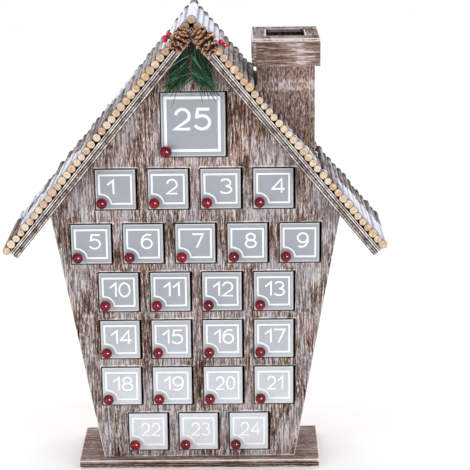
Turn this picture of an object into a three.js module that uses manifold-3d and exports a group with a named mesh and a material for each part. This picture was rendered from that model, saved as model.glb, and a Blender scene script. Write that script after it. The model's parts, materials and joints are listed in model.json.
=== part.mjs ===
// A house-shaped wooden advent calendar with twenty-five hinged doors in its front panel,
// a tray behind each row of doors, a roof laid with twigs, a boarded chimney and a sprig at the gable.
// Millimetres, +Z up, front towards -Y, origin at the middle of the base board's underside.
import * as THREE from 'three';
import { mergeVertices } from 'three/addons/utils/BufferGeometryUtils.js';
import Module from 'manifold-3d';

const wasm = await Module();
wasm.setup();

// Clearance between pieces that are glued or seated on each other.
const GAP = 0.3;

// How far a cutting body runs past the face that it opens.
const CUT_PAST = 1;

// Door openings: rows from the top down, numbered from left to right, with the wood left between them.
const DOORS_PER_ROW = [4, 5, 4, 4, 4, 3];
const WINDOW_WIDTH = 42.8;
const WINDOW_HEIGHT = 43;
const STILE = 9.2;
const RAIL = 7.8;
const TOP_RAIL = 13.2;
const FOOT_RAIL = 6.6;
const GABLE_WINDOW = 66.1;
const GABLE_RAIL = 10.3;

// House body: two gabled panels with side walls that lean outwards between them.
const HOUSE_DEPTH = 66.6;
const PANEL_T = 6;
const BACK_T = 4;
const WALL_T = 6;
const WALL_MARGIN = 9.1;
const SIDE_LEAN = THREE.MathUtils.degToRad(9.9);

// Base board, and how far it stands out past the house.
const BASE_T = 9;
const BASE_LEDGE = 10.2;
const BASE_SIDE = 26;

// Roof: two boards that meet at the ridge, clear of the upper corners of the openings.
const ROOF_PITCH = THREE.MathUtils.degToRad(50.6);
const ROOF_T = 9;
const HEADROOM = 6.6;
const EAVES_OVERHANG = 39.3;
const FRONT_OVERHANG = 18;
const BACK_OVERHANG = 20.4;

// Door leaves, each turning on two pins near its right edge.
const LEAF_T = 5;
const LEAF_GAP = 0.7;
const HINGE_GAP = 2.2;
const PIVOT_INSET = 2;
const PIVOT_DEPTH = 2.9;
const LEAF_ROUND = 1.6;
const PIN_R = 1;
const PIN_CLEARANCE = 0.3;
const PIN_REACH = 2.6;
const PIN_ROOT = 1.5;
const PIN_SIDES = 6;
const PIN_HOLE_SIDES = 8;

// Bead knobs, each on a peg, near the lower left corner of the opening.
const KNOB_R = 4.6;
const GABLE_KNOB_R = 5.1;
const KNOB_SEAT = 0.3;
const KNOB_PEG_R = 1.8;
const KNOB_IN = 6.9;
const KNOB_UP = 7.6;

// Trays: a shelf with upright dividers behind each row of doors.
const SHELF_T = 6;
const SHELF_DROP = 0.9;
const DIVIDER_T = 5;
const END_ROOM = 3;
const CHEEK_SETBACK = 1;

// Chimney: four boards, a collar of four boards and a top plate with a hole.
const CHIMNEY_X = 90.3;
const CHIMNEY_FRONT = 26;
const CHIMNEY_WIDTH = 56.4;
const CHIMNEY_DEPTH = 64.5;
const CHIMNEY_RISE = 59.2;
const BOARD_T = 4.6;
const COLLAR_HEIGHT = 24.2;
const CAP_T = 3;
const FLUE_WIDTH = 38;
const FLUE_DEPTH = 42;
const FLUE_CORNER = 4;

// Twigs that cover the roof, laid side by side and let a little into each other's bark.
const TWIG_R = 4.1;
const TWIG_SPREAD = 0.35;
const TWIG_OVERLAP = 0.57;
const TWIG_FRONT = 1.2;
const TWIG_FRONT_SPREAD = 0.2;
const TWIG_BACK = 0.8;
const TWIG_BACK_SPREAD = 2.5;
const TWIG_SIDES = 8;

// Two cones in front of the ridge: place, drop below the ridge and size, with the tilt and the turn
// about the cone's own axis in degrees.
const RIGHT_CONE = { x: 13.6, drop: 14.8, length: 31, radius: 11.6, tilt: 38, roll: 90 };
const LEFT_CONE = { x: -11.4, drop: 13.3, length: 28, radius: 10.4, tilt: -26, roll: 90 };

// A cone's core and scales, as shares of its radius and length.
const CONE_CORE = { radius: 0.74, length: 0.9, fullness: 0.75, sides: 8, steps: 6 };
const CONE_SCALE = {
  count: 28,
  width: 0.44,
  thickness: 0.26,
  depth: 0.72,
  seat: 0.66,
  run: 0.86,
  lift: 0.5,
};

// Needles that fan out below the ridge from a bound root.
const SPRIG_R = 4.5;
const SPRIG_RECESS = 4;
const NEEDLE_R = 0.55;
const NEEDLE_TIP_R = 0.12;
const NEEDLE_SIDES = 3;
const NEEDLE_SIDE_ROOM = THREE.MathUtils.degToRad(5.4);
const NEEDLES_ACROSS = 21;
const NEEDLE_LAYERS = 3;
const NEEDLE_LAYER_LEAN = THREE.MathUtils.degToRad(4);
const NEEDLE_CLEARANCE = 1.2;
const NEEDLE_LENGTH_SPREAD = 0.03;

// Red berries on wire stems, lying on the twigs to either side of the cones.
const BERRY_R = 2.7;
const STEM_R = 0.7;
const STEM_FOOT_R = 1.3;
const STEM_SIDES = 6;
const BERRY_SEAT = 0.15;
const BERRY_BACK = 4.5;
const BERRY_STEP = 4;
const BERRY_LIFT = 1.2;
const LEFT_BERRIES = { start: 21.6, count: 3 };
const RIGHT_BERRIES = { start: 27.6, count: 2 };

const BROWN = { color: 0x7a5f4e, roughness: 0.85, metalness: 0 };
const PLY = { color: 0x8a715c, roughness: 0.85, metalness: 0 };
const PALE = { color: 0xb59b82, roughness: 0.85, metalness: 0 };
const GREY = { color: 0xa9adb1, roughness: 0.75, metalness: 0 };
const BARK = { color: 0x6f655f, roughness: 0.9, metalness: 0 };
const CONE = { color: 0x8a5a3c, roughness: 0.8, metalness: 0 };
const GREEN = { color: 0x1f4a34, roughness: 0.7, metalness: 0 };
const RED = { color: 0x9c1020, roughness: 0.3, metalness: 0 };

const SLOPE = Math.tan(ROOF_PITCH);
const LEAN = Math.tan(SIDE_LEAN);
const COLUMN_PITCH = WINDOW_WIDTH + STILE;

const BASE_DEPTH = HOUSE_DEPTH + 2 * BASE_LEDGE;
const PANEL_FRONT = -BASE_DEPTH / 2 + BASE_LEDGE;
const PANEL_BACK = PANEL_FRONT + PANEL_T;
const HOUSE_BACK = PANEL_FRONT + HOUSE_DEPTH;
const INNER_BACK = HOUSE_BACK - BACK_T;
const FLOOR = BASE_T + GAP;
const PIVOT_Y = PANEL_FRONT + PIVOT_DEPTH;

const SILLS = rowSills();
const GABLE_SILL = SILLS[0] + WINDOW_HEIGHT + GABLE_RAIL;
const OPENINGS = allOpenings();
const FOOT_HALF_WIDTH = footHalfWidth();
const BASE_WIDTH = 2 * (FOOT_HALF_WIDTH + BASE_SIDE);

const UNDER_RIDGE = Math.max(...OPENINGS.map(ridgeNeed)) + HEADROOM;
const RIDGE_HEIGHT = UNDER_RIDGE + (ROOF_T + GAP) / Math.cos(ROOF_PITCH);
const ROOF_FRONT = PANEL_FRONT - FRONT_OVERHANG;
const ROOF_DEPTH = FRONT_OVERHANG + HOUSE_DEPTH + BACK_OVERHANG;
const ROOF_HALF_SPAN = outerHalf(wallTop(0)) + EAVES_OVERHANG;

const CHIMNEY_PLAN = {
  left: CHIMNEY_X - CHIMNEY_WIDTH / 2,
  right: CHIMNEY_X + CHIMNEY_WIDTH / 2,
  front: ROOF_FRONT + CHIMNEY_FRONT,
  back: ROOF_FRONT + CHIMNEY_FRONT + CHIMNEY_DEPTH,
};
const CHIMNEY_TOP = onRoof(CHIMNEY_PLAN.left) + CHIMNEY_RISE;

const TWIG_LENGTH = TWIG_FRONT + ROOF_DEPTH + TWIG_BACK;
const TWIG_ENDS = ROOF_FRONT - TWIG_FRONT - TWIG_FRONT_SPREAD;
const RIDGE_TWIG_LIFT = (TWIG_R + GAP) / Math.cos(ROOF_PITCH);

// Seeds of the small irregularities, one for each thing that varies.
const SEED = { radius: 2, front: 11, back: 23, needle: 31 };

const house = new THREE.Group();

// Adds one named piece made of the geometry and the finish.
function addPiece(name, geometry, finish) {
  const mesh = new THREE.Mesh(geometry, new THREE.MeshStandardMaterial(finish));
  mesh.name = name;
  house.add(mesh);
}

// Turns a closed geometry into a solid that can be cut and joined.
function toSolid(geometry) {
  const bare = geometry.clone();
  bare.deleteAttribute('normal');
  bare.deleteAttribute('uv');
  const merged = mergeVertices(bare, 1e-4);
  return new wasm.Manifold(new wasm.Mesh({
    numProp: 3,
    vertProperties: new Float32Array(merged.attributes.position.array),
    triVerts: new Uint32Array(merged.index.array),
  }));
}

// Turns a solid back into a geometry.
function toGeometry(solid) {
  const mesh = solid.getMesh();
  const geometry = new THREE.BufferGeometry();
  geometry.setAttribute('position', new THREE.BufferAttribute(new Float32Array(mesh.vertProperties), 3));
  geometry.setIndex(new THREE.BufferAttribute(new Uint32Array(mesh.triVerts), 1));
  geometry.computeVertexNormals();
  return geometry;
}

// Joins geometries that run into each other.
function join(geometries) {
  return geometries.map(toSolid).reduce((whole, piece) => whole.add(piece));
}

// A box given by its lowest and highest corners.
function boxBetween(low, high) {
  const geometry = new THREE.BoxGeometry(high[0] - low[0], high[1] - low[1], high[2] - low[2]);
  geometry.translate((low[0] + high[0]) / 2, (low[1] + high[1]) / 2, (low[2] + high[2]) / 2);
  return geometry;
}

// A shape from corner points, each an [x, z] pair.
function outline(points) {
  return new THREE.Shape(points.map(([x, z]) => new THREE.Vector2(x, z)));
}

// A board whose face is drawn in X and Z, running back from the front plane.
function boardXZ(shape, front, thickness) {
  const geometry = new THREE.ExtrudeGeometry(shape, { depth: thickness, bevelEnabled: false });
  geometry.rotateX(Math.PI / 2);
  geometry.translate(0, front + thickness, 0);
  return geometry;
}

// A repeatable irregularity between -1 and 1.
function wobble(index, seed) {
  const value = Math.sin(index * 12.9898 + seed * 78.233) * 43758.5453;
  return 2 * (value - Math.floor(value)) - 1;
}

// Sill heights of the rows, from the top row down.
function rowSills() {
  const rows = DOORS_PER_ROW.length;
  const lowest = BASE_T + FOOT_RAIL;
  const sills = DOORS_PER_ROW.map((_, row) => lowest + (WINDOW_HEIGHT + RAIL) * (rows - 1 - row));
  sills[0] = sills[1] + WINDOW_HEIGHT + TOP_RAIL;
  return sills;
}

// Every opening: its number, middle, sill, size and knob.
function allOpenings() {
  const openings = [];
  DOORS_PER_ROW.forEach((count, row) => {
    for (let column = 0; column < count; column += 1) {
      openings.push({
        number: openings.length + 1,
        x: (column - (count - 1) / 2) * COLUMN_PITCH,
        sill: SILLS[row],
        width: WINDOW_WIDTH,
        height: WINDOW_HEIGHT,
        knob: KNOB_R,
      });
    }
  });
  openings.push({
    number: openings.length + 1,
    x: 0,
    sill: GABLE_SILL,
    width: GABLE_WINDOW,
    height: GABLE_WINDOW,
    knob: GABLE_KNOB_R,
  });
  return openings;
}

// Half width of the house at its foot, so that every row has its margin inside the leaning walls.
function footHalfWidth() {
  return Math.max(...DOORS_PER_ROW.map((count, row) => {
    const half = (count * COLUMN_PITCH - STILE) / 2;
    return half + WALL_MARGIN - LEAN * (SILLS[row] - BASE_T);
  }));
}

// Height that the underside of the ridge needs over an opening's outer upper corner.
function ridgeNeed(opening) {
  return opening.sill + opening.height + SLOPE * (Math.abs(opening.x) + opening.width / 2);
}

// Half width of the house at a height, outside and inside the walls.
function outerHalf(z) {
  return FOOT_HALF_WIDTH + LEAN * (z - BASE_T);
}

function innerHalf(z) {
  return outerHalf(z) - WALL_T / Math.cos(SIDE_LEAN);
}

// Height just under the roof boards at a distance from the middle.
function underRoof(x) {
  return UNDER_RIDGE - SLOPE * Math.abs(x);
}

// Height just above the right roof board.
function onRoof(x) {
  return RIDGE_HEIGHT + GAP / Math.cos(ROOF_PITCH) - SLOPE * x;
}

// Height where a leaning line of the wall, shifted inwards, meets the roof.
function wallTop(shift) {
  const halfAtGround = FOOT_HALF_WIDTH - shift - LEAN * BASE_T;
  return (UNDER_RIDGE - SLOPE * halfAtGround) / (1 + SLOPE * LEAN);
}

// Where the pivot of an opening's door stands.
function pivotX(opening) {
  return opening.x + opening.width / 2 - HINGE_GAP - PIVOT_INSET;
}

// The gabled outline shared by the front and back panels.
function gableOutline() {
  const eaves = wallTop(0);
  return outline([
    [-outerHalf(FLOOR), FLOOR],
    [outerHalf(FLOOR), FLOOR],
    [outerHalf(eaves), eaves],
    [0, UNDER_RIDGE],
    [-outerHalf(eaves), eaves],
  ]);
}

// The body of air that an opening cuts out of the front panel.
function openingCut(opening) {
  const half = opening.width / 2;
  return boxBetween(
    [opening.x - half, PANEL_FRONT - CUT_PAST, opening.sill],
    [opening.x + half, PANEL_BACK + CUT_PAST, opening.sill + opening.height],
  );
}

// The blind hole over an opening that takes the leaf's upper pin.
function upperPinHole(opening) {
  const depth = PIN_REACH + PIN_CLEARANCE;
  const radius = (PIN_R + PIN_CLEARANCE) / Math.cos(Math.PI / PIN_HOLE_SIDES);
  const hole = new THREE.CylinderGeometry(radius, radius, depth + CUT_PAST, PIN_HOLE_SIDES);
  hole.rotateX(Math.PI / 2);
  hole.translate(pivotX(opening), PIVOT_Y, opening.sill + opening.height + (depth - CUT_PAST) / 2);
  return hole;
}

// The slot under an opening, open at the panel's back, that takes the lower pin.
function lowerPinSlot(opening) {
  const half = PIN_R + PIN_CLEARANCE;
  const x = pivotX(opening);
  return boxBetween(
    [x - half, PIVOT_Y - half, opening.sill - PIN_REACH - PIN_CLEARANCE],
    [x + half, PANEL_BACK + CUT_PAST, opening.sill + CUT_PAST],
  );
}

function makeFrontPanel() {
  let panel = toSolid(boardXZ(gableOutline(), PANEL_FRONT, PANEL_T));
  OPENINGS.forEach((opening) => {
    [openingCut(opening), upperPinHole(opening), lowerPinSlot(opening)].forEach((cut) => {
      panel = panel.subtract(toSolid(cut));
    });
  });
  addPiece('front_panel', toGeometry(panel), BROWN);
}

function makeHouseBody() {
  const base = boxBetween([-BASE_WIDTH / 2, -BASE_DEPTH / 2, 0], [BASE_WIDTH / 2, BASE_DEPTH / 2, BASE_T]);
  addPiece('base_board', base, BROWN);
  makeFrontPanel();
  addPiece('back_panel', boardXZ(gableOutline(), INNER_BACK, BACK_T), PLY);
  const run = INNER_BACK - PANEL_BACK - 2 * GAP;
  const thickness = WALL_T / Math.cos(SIDE_LEAN);
  [['left', -1], ['right', 1]].forEach(([name, side]) => {
    const wall = outline([
      [side * outerHalf(FLOOR), FLOOR],
      [side * outerHalf(wallTop(0)), wallTop(0)],
      [side * innerHalf(wallTop(thickness)), wallTop(thickness)],
      [side * innerHalf(FLOOR), FLOOR],
    ]);
    addPiece(`side_wall_${name}`, boardXZ(wall, PANEL_BACK + GAP, run), BROWN);
  });
}

function makeRoofBoards() {
  const endX = ROOF_HALF_SPAN;
  const endZ = RIDGE_HEIGHT - SLOPE * endX;
  const dropX = ROOF_T * Math.sin(ROOF_PITCH);
  const dropZ = ROOF_T * Math.cos(ROOF_PITCH);
  const seam = GAP / 2;
  const under = RIDGE_HEIGHT - ROOF_T / Math.cos(ROOF_PITCH);
  [['left', -1], ['right', 1]].forEach(([name, side]) => {
    const board = outline([
      [side * seam, RIDGE_HEIGHT - SLOPE * seam],
      [side * endX, endZ],
      [side * (endX - dropX), endZ - dropZ],
      [side * seam, under - SLOPE * seam],
    ]);
    addPiece(`roof_board_${name}`, boardXZ(board, ROOF_FRONT, ROOF_DEPTH), PLY);
  });
}

// A tray seen from the front: a shelf between the walls with upright dividers.
function trayOutline(sill, dividers, ceiling, halfAt) {
  const top = sill - SHELF_DROP;
  const bottom = Math.max(top - SHELF_T, FLOOR);
  const points = [
    [-halfAt(bottom), bottom],
    [halfAt(bottom), bottom],
    [halfAt(top), top],
  ];
  [...dividers].sort((a, b) => b - a).forEach((x) => {
    const right = x + DIVIDER_T / 2;
    const left = x - DIVIDER_T / 2;
    points.push([right, top], [right, Math.min(ceiling, underRoof(right))]);
    points.push([left, Math.min(ceiling, underRoof(left))], [left, top]);
  });
  points.push([-halfAt(top), top]);
  return outline(points);
}

// Divider places for a row: between the doors, and at its ends where the walls stand well clear.
function dividerPlaces(count, sill) {
  const places = [];
  for (let line = 1; line < count; line += 1) {
    places.push((line - count / 2) * COLUMN_PITCH);
  }
  const end = (count / 2) * COLUMN_PITCH;
  if (innerHalf(sill) - end - DIVIDER_T / 2 > END_ROOM) {
    places.push(-end, end);
  }
  return places;
}

function makeTrays() {
  const run = INNER_BACK - PANEL_BACK - 2 * GAP;
  const betweenWalls = (z) => innerHalf(z) - GAP;
  const underGable = (z) => (UNDER_RIDGE - z) / SLOPE;
  DOORS_PER_ROW.forEach((count, row) => {
    const nextSill = row === 0 ? GABLE_SILL : SILLS[row - 1];
    const ceiling = nextSill - SHELF_DROP - SHELF_T - GAP;
    const shape = trayOutline(SILLS[row], dividerPlaces(count, SILLS[row]), ceiling, betweenWalls);
    addPiece(`tray_row_${row + 1}`, boardXZ(shape, PANEL_BACK + GAP, run), PALE);
  });
  const cheek = GABLE_WINDOW / 2 + CHEEK_SETBACK + DIVIDER_T / 2;
  const gable = trayOutline(GABLE_SILL, [-cheek, cheek], UNDER_RIDGE, underGable);
  addPiece('tray_gable', boardXZ(gable, PANEL_BACK + GAP, run), PALE);
}

// A leaf's plan, with its two right corners rounded to clear the jamb as it turns.
function leafPlan(left, right) {
  const front = PANEL_FRONT;
  const back = front + LEAF_T;
  const shape = new THREE.Shape();
  shape.moveTo(left, front);
  shape.lineTo(right - LEAF_ROUND, front);
  shape.absarc(right - LEAF_ROUND, front + LEAF_ROUND, LEAF_ROUND, -Math.PI / 2, 0, false);
  shape.lineTo(right, back - LEAF_ROUND);
  shape.absarc(right - LEAF_ROUND, back - LEAF_ROUND, LEAF_ROUND, 0, Math.PI / 2, false);
  shape.lineTo(left, back);
  shape.closePath();
  return shape;
}

function makeLeaf(opening) {
  const left = opening.x - opening.width / 2 + LEAF_GAP;
  const right = opening.x + opening.width / 2 - HINGE_GAP;
  const leaf = new THREE.ExtrudeGeometry(leafPlan(left, right), {
    depth: opening.height - 2 * LEAF_GAP,
    bevelEnabled: false,
    curveSegments: 2,
  });
  leaf.translate(0, 0, opening.sill + LEAF_GAP);
  return leaf;
}

// A pin that stands in the leaf and reaches past the opening's edge.
function makePin(opening, from, to) {
  const pin = new THREE.CylinderGeometry(PIN_R, PIN_R, to - from, PIN_SIDES);
  pin.rotateX(Math.PI / 2);
  pin.translate(pivotX(opening), PIVOT_Y, (from + to) / 2);
  return pin;
}

// The bead and the peg that holds it in the leaf.
function makeKnob(opening) {
  const x = opening.x - opening.width / 2 + KNOB_IN;
  const y = PANEL_FRONT - opening.knob + KNOB_SEAT;
  const z = opening.sill + KNOB_UP;
  const bead = new THREE.SphereGeometry(opening.knob, 10, 6);
  bead.translate(x, y, z);
  const pegEnd = PANEL_FRONT + LEAF_T / 2;
  const peg = new THREE.CylinderGeometry(KNOB_PEG_R, KNOB_PEG_R, pegEnd - y, PIN_SIDES);
  peg.translate(x, (y + pegEnd) / 2, z);
  return [peg, bead];
}

function makeDoor(opening) {
  const head = opening.sill + opening.height;
  const lowerPin = makePin(opening, opening.sill - PIN_REACH, opening.sill + LEAF_GAP + PIN_ROOT);
  const upperPin = makePin(opening, head - LEAF_GAP - PIN_ROOT, head + PIN_REACH);
  const door = join([makeLeaf(opening), lowerPin, upperPin, ...makeKnob(opening)]);
  const name = `door_${String(opening.number).padStart(2, '0')}`;
  addPiece(name, toGeometry(door), GREY);
}

// Chimney walls: the side boards run the full depth and hold the front and back boards between them.
function boardRing(prefix, plan, bottomAt, top, finish) {
  const { left, right, front, back } = plan;
  const wall = (x0, x1) => outline([[x0, bottomAt(x0)], [x1, bottomAt(x1)], [x1, top], [x0, top]]);
  const depth = back - front;
  const inner = wall(left + BOARD_T + GAP, right - BOARD_T - GAP);
  addPiece(`${prefix}_left`, boardXZ(wall(left, left + BOARD_T), front, depth), finish);
  addPiece(`${prefix}_right`, boardXZ(wall(right - BOARD_T, right), front, depth), finish);
  addPiece(`${prefix}_front`, boardXZ(inner, front, BOARD_T), finish);
  addPiece(`${prefix}_back`, boardXZ(inner, back - BOARD_T, BOARD_T), finish);
}

// The hole in the cap, a rectangle with round corners.
function flueHole(middleY) {
  const x0 = CHIMNEY_X - FLUE_WIDTH / 2;
  const x1 = CHIMNEY_X + FLUE_WIDTH / 2;
  const y0 = middleY - FLUE_DEPTH / 2;
  const y1 = middleY + FLUE_DEPTH / 2;
  const r = FLUE_CORNER;
  const hole = new THREE.Path();
  hole.moveTo(x0 + r, y0);
  hole.lineTo(x1 - r, y0);
  hole.absarc(x1 - r, y0 + r, r, -Math.PI / 2, 0, false);
  hole.lineTo(x1, y1 - r);
  hole.absarc(x1 - r, y1 - r, r, 0, Math.PI / 2, false);
  hole.lineTo(x0 + r, y1);
  hole.absarc(x0 + r, y1 - r, r, Math.PI / 2, Math.PI, false);
  hole.lineTo(x0, y0 + r);
  hole.absarc(x0 + r, y0 + r, r, Math.PI, Math.PI * 1.5, false);
  return hole;
}

function makeChimney() {
  const underCap = CHIMNEY_TOP - CAP_T - GAP;
  boardRing('chimney', CHIMNEY_PLAN, onRoof, underCap, BROWN);
  const proud = BOARD_T + GAP;
  const collar = {
    left: CHIMNEY_PLAN.left - proud,
    right: CHIMNEY_PLAN.right + proud,
    front: CHIMNEY_PLAN.front - proud,
    back: CHIMNEY_PLAN.back + proud,
  };
  boardRing('collar', collar, () => CHIMNEY_TOP - CAP_T - COLLAR_HEIGHT, underCap, BROWN);
  const plate = outline([
    [collar.left, collar.front],
    [collar.right, collar.front],
    [collar.right, collar.back],
    [collar.left, collar.back],
  ]);
  plate.holes.push(flueHole((collar.front + collar.back) / 2));
  const cap = new THREE.ExtrudeGeometry(plate, { depth: CAP_T, bevelEnabled: false, curveSegments: 3 });
  cap.translate(0, 0, CHIMNEY_TOP - CAP_T);
  addPiece('chimney_cap', cap, PLY);
}

// A point over a roof board: s down the slope from the ridge, n out from the board.
function overRoof(side, s, n) {
  return [
    side * (s * Math.cos(ROOF_PITCH) + n * Math.sin(ROOF_PITCH)),
    RIDGE_HEIGHT - s * Math.sin(ROOF_PITCH) + n * Math.cos(ROOF_PITCH),
  ];
}

// Places of the twigs down one side of the roof, touching each other like logs on a raft.
function twigPlaces(side) {
  const slopeLength = ROOF_HALF_SPAN / Math.cos(ROOF_PITCH);
  const places = [];
  let radius = TWIG_R;
  let s = 2 * GAP + TWIG_OVERLAP - RIDGE_TWIG_LIFT * Math.sin(ROOF_PITCH);
  for (let index = 1; ; index += 1) {
    const next = TWIG_R + TWIG_SPREAD * wobble(index, SEED.radius + side);
    s += radius + next - TWIG_OVERLAP;
    if (s > slopeLength) {
      return places;
    }
    places.push({ index, s, radius: next });
    radius = next;
  }
}

function twig(side, place, front, back) {
  const geometry = new THREE.CylinderGeometry(place.radius, place.radius, back - front, TWIG_SIDES);
  const [x, z] = overRoof(side, place.s, place.radius + GAP);
  geometry.rotateY(side * ROOF_PITCH);
  geometry.translate(x, (front + back) / 2, z);
  return geometry;
}

function twigFront(place, side) {
  return ROOF_FRONT - TWIG_FRONT - TWIG_FRONT_SPREAD * wobble(place.index, SEED.front + side);
}

function twigBack(place, side) {
  return ROOF_FRONT + ROOF_DEPTH + TWIG_BACK + TWIG_BACK_SPREAD * wobble(place.index, SEED.back + side);
}

// A bundle of twigs; the ends function gives the front and back of each.
function addTwigs(name, side, places, ends) {
  const twigs = places.map((place) => twig(side, place, ...ends(place)));
  addPiece(name, toGeometry(join(twigs)), BARK);
}

// Moves twigs down the slope, so that a bundle clears the one above it.
function shiftDown(places, distance) {
  return places.map((place) => ({ ...place, s: place.s + distance }));
}

function makeTwigs() {
  const ridge = new THREE.CylinderGeometry(TWIG_R, TWIG_R, TWIG_LENGTH, TWIG_SIDES);
  ridge.translate(0, ROOF_FRONT - TWIG_FRONT + TWIG_LENGTH / 2, RIDGE_HEIGHT + RIDGE_TWIG_LIFT);
  addPiece('twig_ridge', ridge, BARK);
  const seam = TWIG_OVERLAP + GAP;

  const left = twigPlaces(-1);
  const half = Math.ceil(left.length / 2);
  const leftEnds = (place) => [twigFront(place, -1), twigBack(place, -1)];
  addTwigs('twigs_left_upper', -1, left.slice(0, half), leftEnds);
  addTwigs('twigs_left_lower', -1, shiftDown(left.slice(half), seam), leftEnds);

  const right = twigPlaces(1);
  const reach = (place) => {
    const [x] = overRoof(1, place.s, place.radius);
    return [x - place.radius - GAP, x + place.radius + GAP];
  };
  const above = right.filter((place) => reach(place)[1] < CHIMNEY_PLAN.left);
  const below = right.filter((place) => reach(place)[0] > CHIMNEY_PLAN.right);
  const beside = right.filter((place) => !above.includes(place) && !below.includes(place));
  const besideShifted = shiftDown(beside, seam);
  const rightEnds = (place) => [twigFront(place, 1), twigBack(place, 1)];
  const upToChimney = (place) => [twigFront(place, 1), CHIMNEY_PLAN.front - GAP];
  const behindChimney = (place) => [CHIMNEY_PLAN.back + GAP, twigBack(place, 1)];
  addTwigs('twigs_right_upper', 1, above, rightEnds);
  addTwigs('twigs_right_front', 1, besideShifted, upToChimney);
  addTwigs('twigs_right_back', 1, besideShifted, behindChimney);
  addTwigs('twigs_right_lower', 1, shiftDown(below, 2 * seam), rightEnds);
}

// The swelling of an egg-shaped body at a share of its length, from 0 at its ends to 1.
function swelling(share) {
  return Math.sin(Math.PI * share) ** CONE_CORE.fullness;
}

// A closed pine cone: an egg-shaped core with pointed scales in a spiral, grown by a margin.
function coneSolid(cone, margin) {
  const coreRadius = cone.radius * CONE_CORE.radius + margin;
  const coreLength = cone.length * CONE_CORE.length + 2 * margin;
  const profile = [new THREE.Vector2(0, -coreLength / 2)];
  for (let step = 1; step < CONE_CORE.steps; step += 1) {
    const share = step / CONE_CORE.steps;
    profile.push(new THREE.Vector2(coreRadius * swelling(share), (share - 0.5) * coreLength));
  }
  profile.push(new THREE.Vector2(0, coreLength / 2));
  const parts = [new THREE.LatheGeometry(profile, CONE_CORE.sides)];
  const goldenTurn = Math.PI * (3 - Math.sqrt(5));
  for (let index = 0; index < CONE_SCALE.count; index += 1) {
    const along = ((index + 0.5) / CONE_SCALE.count - 0.5) * CONE_SCALE.run;
    const scale = new THREE.OctahedronGeometry(1, 0);
    scale.scale(
      (cone.radius * CONE_SCALE.width) / 2 + margin,
      (cone.radius * CONE_SCALE.thickness) / 2 + margin,
      (cone.radius * CONE_SCALE.depth) / 2 + margin,
    );
    scale.rotateX(CONE_SCALE.lift);
    scale.translate(0, 0, cone.radius * CONE_SCALE.seat * swelling(along + 0.5));
    scale.rotateY(index * goldenTurn);
    scale.translate(0, along * cone.length, 0);
    parts.push(scale);
  }
  return join(parts).rotate([0, cone.roll, 0]).rotate([90, 0, 0]).rotate([0, -cone.tilt, 0]);
}

// A cone laid with its back against the twigs' front ends.
function seatedCone(cone, margin) {
  const back = coneSolid(cone, 0).boundingBox().max[1];
  return coneSolid(cone, margin).translate([cone.x, TWIG_ENDS - GAP - back, RIDGE_HEIGHT - cone.drop]);
}

// The fan of needles: slim spikes from a bound root that is wedged under the ridge.
function needleFan() {
  const rootZ = UNDER_RIDGE - SPRIG_R / Math.cos(ROOF_PITCH);
  const rootY = ROOF_FRONT + SPRIG_RECESS;
  const root = new THREE.SphereGeometry(SPRIG_R, 10, 8);
  root.translate(0, rootY, rootZ);
  const parts = [root];
  const lowest = GABLE_SILL + GABLE_WINDOW + NEEDLE_CLEARANCE;
  const halfFan = Math.PI / 2 - ROOF_PITCH - NEEDLE_SIDE_ROOM;
  for (let layer = 0; layer < NEEDLE_LAYERS; layer += 1) {
    const lean = NEEDLE_LAYER_LEAN * (layer - (NEEDLE_LAYERS - 1) / 2);
    for (let across = 0; across < NEEDLES_ACROSS; across += 1) {
      const share = (2 * (across + (layer % 2) / 2)) / (NEEDLES_ACROSS - 0.5) - 1;
      const turn = halfFan * share;
      const reach = (rootZ - lowest) / (Math.cos(turn) * Math.cos(lean));
      const shortening = (NEEDLE_LENGTH_SPREAD * (1 + wobble(across, SEED.needle + layer))) / 2;
      const length = reach * (1 - shortening);
      const needle = new THREE.CylinderGeometry(NEEDLE_TIP_R, NEEDLE_R, length, NEEDLE_SIDES);
      needle.translate(0, length / 2, 0);
      needle.rotateX(-Math.PI / 2 - lean);
      needle.rotateY(turn);
      needle.translate(0, rootY, rootZ);
      parts.push(needle);
    }
  }
  return join(parts);
}

// A wire stem between two points.
function stem(from, to) {
  const ring = [];
  for (let corner = 0; corner < STEM_SIDES; corner += 1) {
    const angle = (corner * 2 * Math.PI) / STEM_SIDES;
    ring.push(new THREE.Vector2(STEM_R * Math.cos(angle), STEM_R * Math.sin(angle)));
  }
  const path = new THREE.LineCurve3(from, to);
  return new THREE.ExtrudeGeometry(new THREE.Shape(ring), { steps: 1, extrudePath: path });
}

// Berries that lie on the twigs beside the cones, on stems from one foot at the twigs' ends.
function berrySprig(side, berries) {
  const twigTops = 2 * TWIG_R + GAP;
  const over = (x, n) => RIDGE_HEIGHT + n / Math.cos(ROOF_PITCH) - SLOPE * x;
  const footZ = over(berries.start, twigTops + STEM_FOOT_R + BERRY_SEAT);
  const foot = new THREE.Vector3(side * berries.start, TWIG_ENDS, footZ);
  const bulb = new THREE.SphereGeometry(STEM_FOOT_R, 8, 6);
  bulb.translate(foot.x, foot.y, foot.z);
  const parts = [bulb];
  for (let index = 0; index < berries.count; index += 1) {
    const x = berries.start + index * BERRY_STEP;
    const lift = BERRY_LIFT * (index % 2);
    const z = over(x, twigTops + BERRY_R + BERRY_SEAT + lift);
    const centre = new THREE.Vector3(side * x, ROOF_FRONT + BERRY_BACK, z);
    const berry = new THREE.SphereGeometry(BERRY_R, 10, 7);
    berry.translate(centre.x, centre.y, centre.z);
    parts.push(berry, stem(foot, centre));
  }
  return join(parts);
}

function makeSprig() {
  const right = seatedCone(RIGHT_CONE, 0);
  const left = seatedCone(LEFT_CONE, 0).subtract(seatedCone(RIGHT_CONE, GAP));
  addPiece('cone_right', toGeometry(right), CONE);
  addPiece('cone_left', toGeometry(left), CONE);
  addPiece('needle_spray', toGeometry(needleFan()), GREEN);
  addPiece('berries_left', toGeometry(berrySprig(-1, LEFT_BERRIES)), RED);
  addPiece('berries_right', toGeometry(berrySprig(1, RIGHT_BERRIES)), RED);
}

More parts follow.
